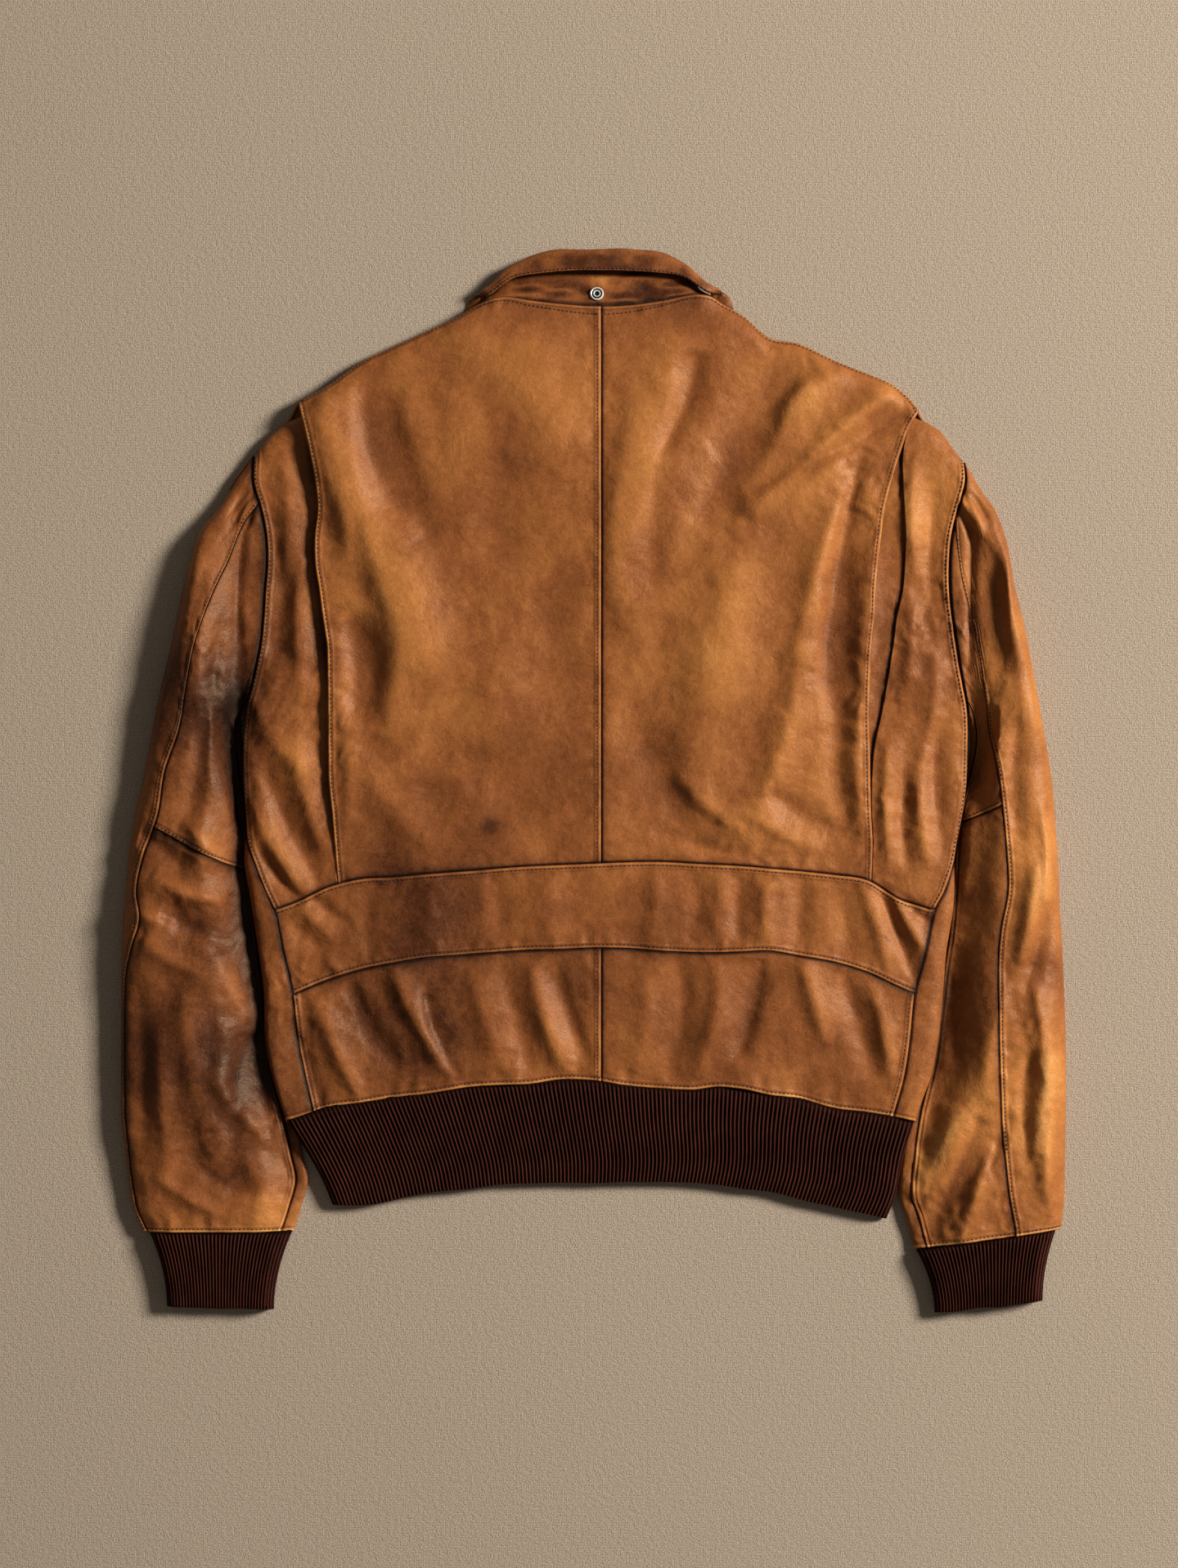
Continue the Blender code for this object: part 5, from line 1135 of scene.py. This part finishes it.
def collarAt(place):
    size = collarLine.all(place)
    seam, fold, edge = (np.stack([size[name + "_" + axis] for axis in "xyz"], axis=-1)
                        for name in ("seam", "fold", "edge"))
    rise = (fold - seam) / np.linalg.norm(fold - seam, axis=-1, keepdims=True)
    tilt = np.radians(size["tilt"])
    out = np.stack([np.where(seam[..., 0] > 3, 1, -1) * np.cos(tilt), 0 * tilt, np.sin(tilt)], axis=-1)
    out = out - rise * (out * rise).sum(axis=-1, keepdims=True)
    out = out / np.linalg.norm(out, axis=-1, keepdims=True)
    radius = size["roll"][..., None]
    return seam, fold - rise * radius, edge, rise, out, radius


collarForm = dict(standEnd=radians(-60), standIn=1.5, standPast=2.0, lap=1.2, seamX=1.2, standWidth=22,
                  leafWidth=22, standTone=-0.3, leafTone=-0.22)


def collarRows(x, y):  # rows of small ridges that run along the stand
    return 0.5 - abs(drift(x * 0.35 + y * 0.2, y * 1.3 - x * 0.12, 7.5, 15))


def buildCollar():
    standEnd, lap, stations = collarForm["standEnd"], collarForm["lap"], len(collarLine.rows) - 1

    def roundFold(centre, rise, out, radius, angle):
        return centre + radius * (np.cos(angle) * rise + np.sin(angle) * out)

    def standSurface(u, v):
        seam, centre, _, rise, out, radius = collarAt(u * stations)
        top = roundFold(centre, rise, out, radius - collarForm["standIn"], standEnd)
        top = top + collarForm["standPast"] * (sin(standEnd) * rise - cos(standEnd) * out)
        place = (seam - lap * rise) + (top - seam + lap * rise) * v[..., None]
        x, y = place[..., 0], place[..., 1]
        shown = ease((place[..., 2] - 6) / 4)
        uneven = (1.0 + 1.3 * bell(x - 48, 30)) * collarRows(x, y) + 0.8 * drift(x * 0.4, y, 6, 16)
        welt = seamRise("under", np.abs(v) * collarForm["standWidth"] - lap, x, 70)
        beside = x - collarForm["seamX"]
        seamMid = -0.9 * bell(beside, 0.9) + 0.5 * bell(abs(beside) - 3, 1.6)
        return place + out * ((uneven * np.sin(pi * np.clip(v, 0, 1)) + welt + seamMid) * shown)[..., None]

    def leafSurface(u, v):  # round the fold while v is below 1, then down to the free edge
        _, centre, edge, rise, out, radius = collarAt(u * stations)
        turn = mix(standEnd, pi / 2, np.clip(v, 0, 1))[..., None]
        bent = roundFold(centre, rise, out, radius, turn)
        start = centre + radius * out
        share = np.clip(v - 1, 0, 1)[..., None]
        flat = start + (edge - start) * share
        place = np.where(v[..., None] <= 1, bent, flat)
        apart = (2 - v) * np.linalg.norm(edge - start, axis=-1)
        shown = ease((place[..., 2] - 5) / 4)
        x, y = place[..., 0], place[..., 1]
        rolls = 0.9 * drift(x, y, 24, 17) + 0.6 * drift(x * 0.5, y, 8, 18)
        height = (seamRise("over", apart, x, 72) + rolls - 1.3 * share[..., 0] ** 2) * shown
        face = out * share + (np.cos(turn) * rise + np.sin(turn) * out) * (1 - share)
        return place + face * height[..., None]

    u, v = np.meshgrid(spread(420, 2.2, 2.2), spread(26, 1.6, 0.7))
    places = standSurface(u, v)
    x, y = places[..., 0], places[..., 1]
    # The stand is painted darker as shade where it comes out from under the back panel's edge, under the leaf
    # and in its wrinkles' troughs, and lighter as highlight on their ridges; it is also rubbed pale at the
    # middle and dark along the centre seam.
    rubbed = bell(np.hypot((x - 2) / 1.6, y - 368), 6)
    ridges = collarRows(x, y)
    shadeAndGrime = 0.7 * bell(v * 26 - lap, 1.5) + 0.5 * ease((v - 0.75) * 4)
    shadeAndGrime = shadeAndGrime + 0.7 * bell(x - collarForm["seamX"], 0.8) + 0.5 * ease(-2 * ridges)
    marks = {"wearAndHighlight": 0.9 * rubbed + 0.5 * ease(2 * ridges), "shadeAndGrime": shadeAndGrime,
             "tone": toneOf(x, y) + collarForm["standTone"]}
    makeSheet("leatherCollarStand", places, marks, (leather, "leather"), "collar_stand", (0.42, 0.03, 0.58))
    reaches = np.concatenate([np.linspace(0, 1, 14), 1 + spread(34, 2.0, 0.7, start=False)[1:]])
    u, v = np.meshgrid(spread(420, 2.2, 2.2), reaches)
    places = leafSurface(u, v)
    x, y = places[..., 0], places[..., 1]
    wearAndHighlight, shadeAndGrime = seamMarks("over", (2 - v) * collarForm["leafWidth"], x, 72)
    scuffs = ease(1.6 * drift(x * 0.7, y, 7, 24) - 0.3)
    # Besides the seam's wear and stitch line, the leaf is lighter along the fold's crest and scuffed, painted
    # darker as shade where the fold starts beside the stand, and smudged with dirt.
    wearAndHighlight = wearAndHighlight * (0.4 + 0.6 * (v > 1)) + 0.3 * bell(v - 0.8, 0.3) + 0.35 * scuffs
    shadeAndGrime = shadeAndGrime * (v > 1) + 0.8 * ease(1 - 2.2 * v) + 0.15 * ease(-1.5 * drift(x, y, 12, 25))
    marks = {"wearAndHighlight": wearAndHighlight, "shadeAndGrime": shadeAndGrime, "tone": toneOf(x, y) + collarForm["leafTone"]}
    makeSheet("leatherCollarLeaf", places, marks, (leather, "leather"), "collar_leaf", (0.46, 0.06, 0.70),
              turned=True)
    # the leaf's stitches show across the back of the neck, between its fold and its free edge
    stitchRow(lambda u, v: leafSurface(0.24 + 0.52 * u, 1 + v), "high", outward=-1)


# The profile's points are each a reach from the snap's axis and a height along it.
snapForm = dict(
    station=9.8, sunk=0.6, steps=40, channel=(2.9, 3.75), eye=1.75,
    profile=[(5.0, 0.0), (5.0, 0.9), (4.7, 1.3), (4.2, 1.4), (3.85, 1.2), (3.7, 0.2), (3.0, 0.1),
             (2.85, 1.2), (2.5, 1.5), (2.0, 1.4), (1.8, 1.1), (1.6, 0.1), (0.0, 0.05)],
)


def buildSnap():
    # A domed ring, a dark channel, a bright ring and a dark eye, turned as one profile about its own axis.
    low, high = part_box("collar_snap")
    centre = (np.array(low) + np.array(high)) / 2
    profile = snapForm["profile"]
    bpy.ops.object.select_all(action="DESELECT")
    bpy.ops.mesh.primitive_circle_add(vertices=len(profile), radius=1)
    piece = bpy.context.object
    piece.name = "snapSocket"
    form = bmesh.new()
    form.from_mesh(piece.data)
    form.verts.ensure_lookup_table()
    for vertex, (reach, height) in zip(form.verts, profile):
        vertex.co = (reach * mm, 0, (height - snapForm["sunk"]) * mm)
    form.edges.ensure_lookup_table()
    form.edges.remove(max(form.edges, key=lambda edge: edge.calc_length()))
    form.to_mesh(piece.data)
    form.free()
    turned = piece.modifiers.new("turned", "SCREW")
    turned.steps = turned.render_steps = snapForm["steps"]
    turned.use_merge_vertices = True
    turned.merge_threshold = 0.00001
    bpy.ops.object.modifier_apply(modifier=turned.name)
    outward = collarAt(np.array([snapForm["station"]]))[4]
    facing = Vector(outward[0]).to_track_quat("Z", "Y").to_matrix().to_4x4()
    facing.translation = Vector(centre)
    piece.data.transform(facing)
    bpy.ops.object.mode_set(mode="EDIT")
    bpy.ops.mesh.select_all(action="SELECT")
    bpy.ops.mesh.normals_make_consistent(inside=False)
    bpy.ops.object.mode_set(mode="OBJECT")
    bpy.ops.object.shade_smooth_by_angle(angle=radians(35))
    ring = piece.data.attributes.new("ring", "FLOAT", "POINT")
    start, end = snapForm["channel"]
    reach = [(Vector(vertex.co) - Vector(centre)).length / mm for vertex in piece.data.vertices]
    dark = [start < far < end or far < snapForm["eye"] for far in reach]
    ring.data.foreach_set("value", [0.0 if inside else 1.0 for inside in dark])
    dress(piece, "jacket", (snapFinish(), "nickel"), "collar_snap")


# Stitches and zip teeth, joined from one shape each

def joinCopies(name, template, frames, look, *nodes):
    # One mesh from a small shape repeated at many places, each with its three directions.
    points = np.array([vertex.co[:] for vertex in template.data.vertices])
    faces = [list(face.vertices) for face in template.data.polygons]
    bpy.data.objects.remove(template)
    count = len(points)
    places, ahead, out = frames[:, 0], frames[:, 1], frames[:, 2]
    aside = np.cross(out, ahead)
    allPoints = places[:, None]
    for axis, direction in enumerate((ahead, aside, out)):
        allPoints = allPoints + points[None, :, axis, None] * direction[:, None]
    allFaces = [[corner + first for corner in face] for first in range(0, count * len(places), count)
                for face in faces]
    mesh = bpy.data.meshes.new(name)
    mesh.from_pydata(((allPoints.reshape(-1, 3) - middle) * mm).tolist(), [], allFaces)
    mesh.shade_smooth()
    piece = bpy.data.objects.new(name, mesh)
    bpy.context.scene.collection.objects.link(piece)
    dress(piece, "jacket", look, *nodes)


threadForm = dict(length=1.1, width=0.55, height=0.4, stray=0.16, proud=0.12)


def buildStitches():
    frames = np.concatenate(stitchPlaces)
    count = len(frames)
    turn = threadForm["stray"] * (chance.reshape(-1)[np.arange(count) % 4096])[:, None]
    ahead, out = frames[:, 1], frames[:, 2]
    aside = np.cross(out, ahead)
    frames[:, 1] = ahead * np.cos(turn) + aside * np.sin(turn)
    frames[:, 0] += threadForm["proud"] * out
    bpy.ops.object.select_all(action="DESELECT")
    bpy.ops.mesh.primitive_uv_sphere_add(segments=6, ring_count=3, radius=1)
    template = bpy.context.object
    for vertex in template.data.vertices:
        x, y, z = vertex.co
        vertex.co = (threadForm["length"] * z, threadForm["width"] * x, threadForm["height"] * y)
    joinCopies("threads", template, frames, (thread, "leather"))
    print("threads", count)


# Zip, on the side that faces the floor

zipForm = dict(low=-293.0, high=266.0, toothX=1.15, toothZ=3.65, pitch=1.6, tooth=(3.3, 1.2, 2.7),
               tapeHigh=281.8, tapeZ=5.45, tapeWall=0.6, sliderY=273.2, lugY=269.7, lug=2.45)


def bevelled(size, place, width):  # a box with rounded edges, in millimetres
    bpy.ops.object.select_all(action="DESELECT")
    bpy.ops.mesh.primitive_cube_add(size=1)
    box = bpy.context.object
    for vertex in box.data.vertices:
        vertex.co = [part * length for part, length in zip(vertex.co, size)]
        vertex.co = [(part + shift) * mm for part, shift in zip(vertex.co, place)]
    rounding = box.modifiers.new("rounding", "BEVEL")
    rounding.width, rounding.segments = width * mm, 2
    bpy.ops.object.modifier_apply(modifier=rounding.name)
    return box


def joined(name, boxes, body, node):
    bpy.ops.object.select_all(action="DESELECT")
    for box in boxes:
        box.select_set(True)
    bpy.context.view_layer.objects.active = boxes[0]
    bpy.ops.object.join()
    piece = bpy.context.object
    piece.name = name
    bpy.ops.object.shade_smooth_by_angle(angle=radians(35))
    dress(piece, body, (brass, "brass"), node)


def buildTape(name, node, side):
    across = zipMiddle + side * np.array([14.8, 12, 9, 6, 3.4, 1.6, 1.1])[::-side]
    x, y = np.meshgrid(across[::-1], np.linspace(zipForm["low"], zipForm["tapeHigh"], 190))
    cord = 0.25 * bell(abs(x - zipMiddle) - 1.3, 0.9)
    places = np.stack([x, y, zipForm["tapeZ"] + 0.12 * drift(x, y, 14, 26) + 0.1 - cord * 0.3], axis=-1)
    marks = {"wearAndHighlight": 0 * x, "shadeAndGrime": 0.3 * bell(abs(x - zipMiddle) - 3, 2), "tone": 0.2 * drift(x, y, 30, 27)}
    makeSheet(name, places, marks, (tape, "tape"), node, (0.0138, 0.575, 1.0), zipForm["tapeWall"])


def buildTeeth():
    count = int((zipForm["high"] - zipForm["low"] - 1) / zipForm["pitch"])
    frames = np.zeros((count, 3, 3))
    sides = np.where(np.arange(count) % 2, 1.0, -1.0)
    y = zipForm["low"] + 0.8 + zipForm["pitch"] * np.arange(count)
    frames[:, 0] = np.stack([zipMiddle + zipForm["toothX"] * sides, y, 0 * sides + zipForm["toothZ"]], axis=1)
    frames[:, 1, 0], frames[:, 2, 2] = sides, -1
    tooth = bevelled(zipForm["tooth"], (0, 0, 0), 0.3)
    for vertex in tooth.data.vertices:
        vertex.co /= mm
    joinCopies("zipTeeth", tooth, frames, (brass, "brass"), "zip_chain")


def buildSlider():
    x, y = zipMiddle - middle[0], zipForm["sliderY"] - middle[1]

    def pair(size, apart, boxY, z):
        return [bevelled(size, (x + side * apart, boxY, z), 0.3) for side in (-1, 1)]

    joined("zipSlider", [
        bevelled((7.8, 12.6, 0.9), (x, y, 2.45), 0.4), bevelled((7.8, 12.6, 0.7), (x, y, 4.7), 0.3),
        bevelled((1.4, 5.2, 2.6), (x, y + 3.4, 3.5), 0.3), *pair((0.9, 12.0, 2.2), 3.35, y, 3.5),
        *pair((0.9, 2.7, 1.9), zipForm["lug"], zipForm["lugY"], 1.4),
    ], "jacket", "zip_slider")


def buildPullTab():
    low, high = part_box("zip_pull_tab")
    x, z = (low[0] + high[0]) / 2 / mm, (low[2] + high[2]) / 2 / mm
    wide, top, bottom = (high[0] - low[0]) / mm, high[1] / mm, low[1] / mm
    neck = 2 * (zipForm["lug"] - 0.85)
    joined("zipPullTab", [
        bevelled((neck, 7.4, 0.9), (x, top - 3.8, z), 0.35),
        bevelled((wide - 0.1, top - bottom - 5.4, 0.7), (x, (bottom + top - 5.2) / 2, z), 0.3),
        *[bevelled((wide - 2.4, 0.9, 1.0), (x, bottom + up, z), 0.2) for up in (3.0, 5.4, 7.8)],
    ], "pull_tab", "zip_pull_tab")


# Materials

class Sum:  # a socket that can be reckoned with
    def __init__(self, tree, socket=None):
        self.tree, self.socket = tree, socket

    def node(self, kind, output, inputs, stops=(), **settings):
        # A new node's settings and stops are set first, then the values or links of its sockets.
        node = self.tree.nodes.new(kind)
        for name, value in settings.items():
            setattr(node, name, value)
        for _ in stops[2:]:
            node.color_ramp.elements.new(0.5)
        for (place, colour), element in zip(stops, node.color_ramp.elements if stops else ()):
            element.position, element.color = place, (*colour, 1)
        setSockets(node, inputs)
        return Sum(self.tree, node.outputs[output])

    def reckon(self, operation, first, second):
        return self.node("ShaderNodeMath", 0, {0: first, 1: second}, operation=operation)

    def __add__(self, other):
        return self.reckon("ADD", self, other)

    def __sub__(self, other):
        return self.reckon("SUBTRACT", self, other)

    def __mul__(self, other):
        return self.reckon("MULTIPLY", self, other)

    def __rsub__(self, other):
        return self.reckon("SUBTRACT", other, self)

    __radd__, __rmul__ = __add__, __mul__

    def atMost(self, most):
        return self.reckon("MINIMUM", self, most)

    def noise(self, scale, detail=3.0, roughness=0.55, distortion=0.0):
        return self.node("ShaderNodeTexNoise", "Fac", {"Vector": self, "Scale": scale, "Detail": detail,
                                                       "Roughness": roughness, "Distortion": distortion})

    def waves(self, direction, scale, distortion, **details):
        inputs = {"Vector": self, "Scale": scale, "Distortion": distortion}
        inputs.update({name.replace("_", " "): value for name, value in details.items()})
        return self.node("ShaderNodeTexWave", "Fac", inputs, wave_type="BANDS", bands_direction=direction)

    def ramp(self, *stops):
        return self.node("ShaderNodeValToRGB", 0, {0: self}, stops)

    def mark(self, name):
        return self.node("ShaderNodeAttribute", "Fac", {}, attribute_name=name)

    def bump(self, strength, distance, before=None):
        inputs = {"Height": self, "Strength": strength, "Distance": distance}
        if before:
            inputs["Normal"] = before
        return self.node("ShaderNodeBump", "Normal", inputs)


def setSockets(node, inputs):
    for name, value in inputs.items():
        if isinstance(value, Sum):
            value.tree.links.new(value.socket, node.inputs[name])
        else:
            node.inputs[name].default_value = value


def newMaterial(name, coordinates="Object"):
    material = bpy.data.materials.new(name)
    material.use_nodes = True
    tree = material.node_tree
    shader = tree.nodes["Principled BSDF"]
    return material, shader, Sum(tree).node("ShaderNodeTexCoord", coordinates, {})


def setShader(shader, **values):
    setSockets(shader, {name.replace("_", " "): value for name, value in values.items()})


leatherForm = dict(
    value=0.485, broad=0.34, cloudy=0.26, fine=0.20, speck=0.20, tone=0.42, wearAndHighlight=0.36, shadeAndGrime=0.50,
    rough=0.46, shine=0.32, shineTint=(1.0, 0.72, 0.5, 1),
    colours=[(0.0, (0.009, 0.0026, 0.0014)), (0.22, (0.082, 0.0220, 0.0066)), (0.45, (0.250, 0.078, 0.0205)),
             (0.66, (0.43, 0.158, 0.038)), (0.88, (0.66, 0.31, 0.090)), (1.0, (0.78, 0.47, 0.18))],
)


def leatherFinish():
    material, shader, place = newMaterial("leather")
    broad = place.noise(9, 4, 0.6)
    cloudy = place.noise(38, 5, 0.65, 0.5)
    fine = place.noise(230, 4, 0.7)
    speck = place.noise(800, 2, 0.5)
    grain = place.node("ShaderNodeTexVoronoi", "Distance", {"Vector": place, "Scale": 560.0},
                       feature="DISTANCE_TO_EDGE")
    wearAndHighlight, shadeAndGrime, tone = place.mark("wearAndHighlight"), place.mark("shadeAndGrime"), place.mark("tone")
    value = leatherForm["value"] + (broad - 0.5) * leatherForm["broad"]
    value = value + (cloudy - 0.5) * leatherForm["cloudy"]
    value = value + (fine - 0.5) * leatherForm["fine"] + (speck - 0.5) * leatherForm["speck"]
    # tone, partly painted light and shade, lightens or darkens; wear with painted highlight lightens, painted
    # shade with grime darkens
    value = value + tone * leatherForm["tone"] + wearAndHighlight * leatherForm["wearAndHighlight"] - shadeAndGrime * leatherForm["shadeAndGrime"]
    colour = value.ramp(*leatherForm["colours"])
    crease = (grain * 60).atMost(1.0)
    normal = crease.bump(0.5, 0.0003)
    normal = fine.bump(0.4, 0.0012, normal)
    normal = cloudy.bump(0.3, 0.004, normal)
    rough = leatherForm["rough"] + (cloudy - 0.5) * 0.35 + (fine - 0.5) * 0.25 + shadeAndGrime * 0.2 + wearAndHighlight * 0.05
    setShader(shader, Base_Color=colour, Roughness=rough, Normal=normal,
              Specular_IOR_Level=leatherForm["shine"], Specular_Tint=leatherForm["shineTint"])
    return material


knitForm = dict(
    value=0.90, wool=0.8, blotch=0.5, tone=0.5, shadeAndGrime=0.64, stitch=0.12, rough=0.92, shine=0.06,
    colours=[(0.0, (0.003, 0.0011, 0.001)), (0.5, (0.0175, 0.0043, 0.003)), (1.0, (0.085, 0.024, 0.015))],
)


def knitFinish():
    material, shader, place = newMaterial("knit", "UV")
    shadeAndGrime, tone = place.mark("shadeAndGrime"), place.mark("tone")
    wool = place.noise(1300, 3, 0.7)
    blotch = place.noise(60, 3)
    stitch = place.waves("Y", 240.0, 1.5, Detail=1.0, Detail_Scale=3.0)
    value = knitForm["value"] + (wool - 0.5) * knitForm["wool"] + (blotch - 0.5) * knitForm["blotch"]
    # darker where painted shade lies between the ribs and under the leather
    value = value + tone * knitForm["tone"] - shadeAndGrime * knitForm["shadeAndGrime"] + (stitch - 0.5) * knitForm["stitch"]
    colour = value.ramp(*knitForm["colours"])
    normal = (stitch * 0.5 + wool * 0.7).bump(0.7, 0.0007)
    setShader(shader, Base_Color=colour, Roughness=knitForm["rough"], Normal=normal,
              Specular_IOR_Level=knitForm["shine"])
    return material


def threadFinish():
    material, shader, place = newMaterial("thread")
    value = place.noise(160, 2) * 0.8 + 0.1
    colour = value.ramp((0.2, (0.012, 0.004, 0.002)), (0.8, (0.055, 0.018, 0.007)))
    setShader(shader, Base_Color=colour, Roughness=0.7)
    return material


def metalFinish(name, dark, light, roughness, scale):
    material, shader, place = newMaterial(name)
    value = place.noise(scale, 4, 0.65)
    colour = value.ramp((0.3, dark), (0.7, light))
    setShader(shader, Base_Color=colour, Roughness=roughness + (value - 0.5) * 0.3, Metallic=1.0,
              Normal=value.bump(0.15, 0.0002))
    return material


def snapFinish():
    material, shader, place = newMaterial("snap")
    ring, rub = place.mark("ring"), place.noise(900, 3, 0.6)
    value = ring * 0.8 + (rub - 0.5) * 0.2
    colour = value.ramp((0.15, (0.006, 0.006, 0.006)), (0.55, (0.62, 0.60, 0.55)), (0.85, (0.86, 0.85, 0.82)))
    setShader(shader, Base_Color=colour, Roughness=0.34, Metallic=ring * 0.4)
    return material


def tapeFinish():
    material, shader, place = newMaterial("tape")
    weave = place.waves("DIAGONAL", 240.0, 0.6)
    value = weave * 0.6 + place.noise(90, 3) * 0.4
    colour = value.ramp((0.2, (0.03, 0.014, 0.008)), (0.8, (0.075, 0.036, 0.02)))
    setShader(shader, Base_Color=colour, Roughness=0.85, Normal=weave.bump(0.5, 0.0003))
    return material


def floorFinish():
    material, shader, place = newMaterial("canvas")
    thick = place.noise(900, 2, 0.6)
    warp = place.waves("X", 190.0, 2.5, Detail=2.0, Detail_Scale=1.5)
    weft = place.waves("Y", 170.0, 2.5, Detail=2.0, Detail_Scale=1.5)
    broad = place.noise(2.2, 3)
    value = 0.5 + (thick - 0.5) * 2.4 + (broad - 0.5) * 0.12 + (warp + weft - 1.0) * 0.2
    colour = value.ramp((0.1, (0.31, 0.248, 0.188)), (0.9, (0.50, 0.41, 0.315)))
    normal = (thick + place.noise(250, 3, 0.6) * 0.8).bump(0.6, 0.0012)
    setShader(shader, Base_Color=colour, Roughness=0.95, Normal=normal, Specular_IOR_Level=0.1)
    return material


# Stage

stageForm = dict(cameraX=-4.2, cameraY=-1.8, cameraZ=2731, lens=85, floorSize=9,
                 key=(4.4, 1.6, 3.05), keyPower=535, keySize=1.3, keyColour=(1.0, 0.95, 0.88),
                 fill=0.13, fillColour=(1.0, 0.93, 0.84, 1))


def buildStage():
    bpy.ops.object.select_all(action="DESELECT")
    bpy.ops.mesh.primitive_plane_add(size=stageForm["floorSize"])
    floor = bpy.context.object
    floor.name = "floor"
    floor.data.materials.append(floorFinish())
    world = bpy.data.worlds.new("studio")
    world.use_nodes = True
    world.node_tree.nodes["Background"].inputs["Color"].default_value = stageForm["fillColour"]
    world.node_tree.nodes["Background"].inputs["Strength"].default_value = stageForm["fill"]
    bpy.context.scene.world = world
    key = bpy.data.lights.new("key", "AREA")
    key.energy, key.size, key.color = (stageForm[name] for name in ("keyPower", "keySize", "keyColour"))
    lamp = bpy.data.objects.new("key", key)
    bpy.context.scene.collection.objects.link(lamp)
    lamp.location = stageForm["key"]
    lamp.rotation_euler = (-lamp.location).to_track_quat("-Z", "Y").to_euler()
    camera = bpy.data.objects.new("camera", bpy.data.cameras.new("camera"))
    camera.data.lens, camera.data.sensor_width = stageForm["lens"], 36
    camera.location = [(stageForm[name] - shift) * mm for name, shift in
                       (("cameraX", middle[0]), ("cameraY", middle[1]), ("cameraZ", 0))]
    bpy.context.scene.collection.objects.link(camera)
    bpy.context.scene.camera = camera
    bpy.context.scene.view_settings.view_transform = "Standard"


buildStage()
leather, knit, thread, tape = leatherFinish(), knitFinish(), threadFinish(), tapeFinish()
brass = metalFinish("brass", (0.25, 0.16, 0.06), (0.55, 0.40, 0.18), 0.42, 300)
print("stage and materials")
buildBack()
print("back")
buildFront("leatherFrontLeft", "front_left", -1)
buildFront("leatherFrontRight", "front_right", 1)
print("fronts")
buildSleeve("left", leftSleeve, leftElbow, -1, 13, (0.17, 0.60, 0.68), (0.09, 0.28, 0.52), (0.13, 0.31, 0.78))
buildSleeve("right", rightSleeve, rightElbow, 1, 11, (0.20, 0.60, 0.68), (0.045, 0.24, 0.42),
            (0.08, 0.34, 0.64))
print("sleeves")
buildRibs()
print("rib knit")
buildCollar()
buildSnap()
print("collar")
buildStitches()
buildTape("zipTapeLeft", "zip_tape_left", -1)
buildTape("zipTapeRight", "zip_tape_right", 1)
buildTeeth()
buildSlider()
buildPullTab()
print("zip")
print("triangles", sum(len(face.vertices) - 2 for piece in shownPieces for face in piece.data.polygons))
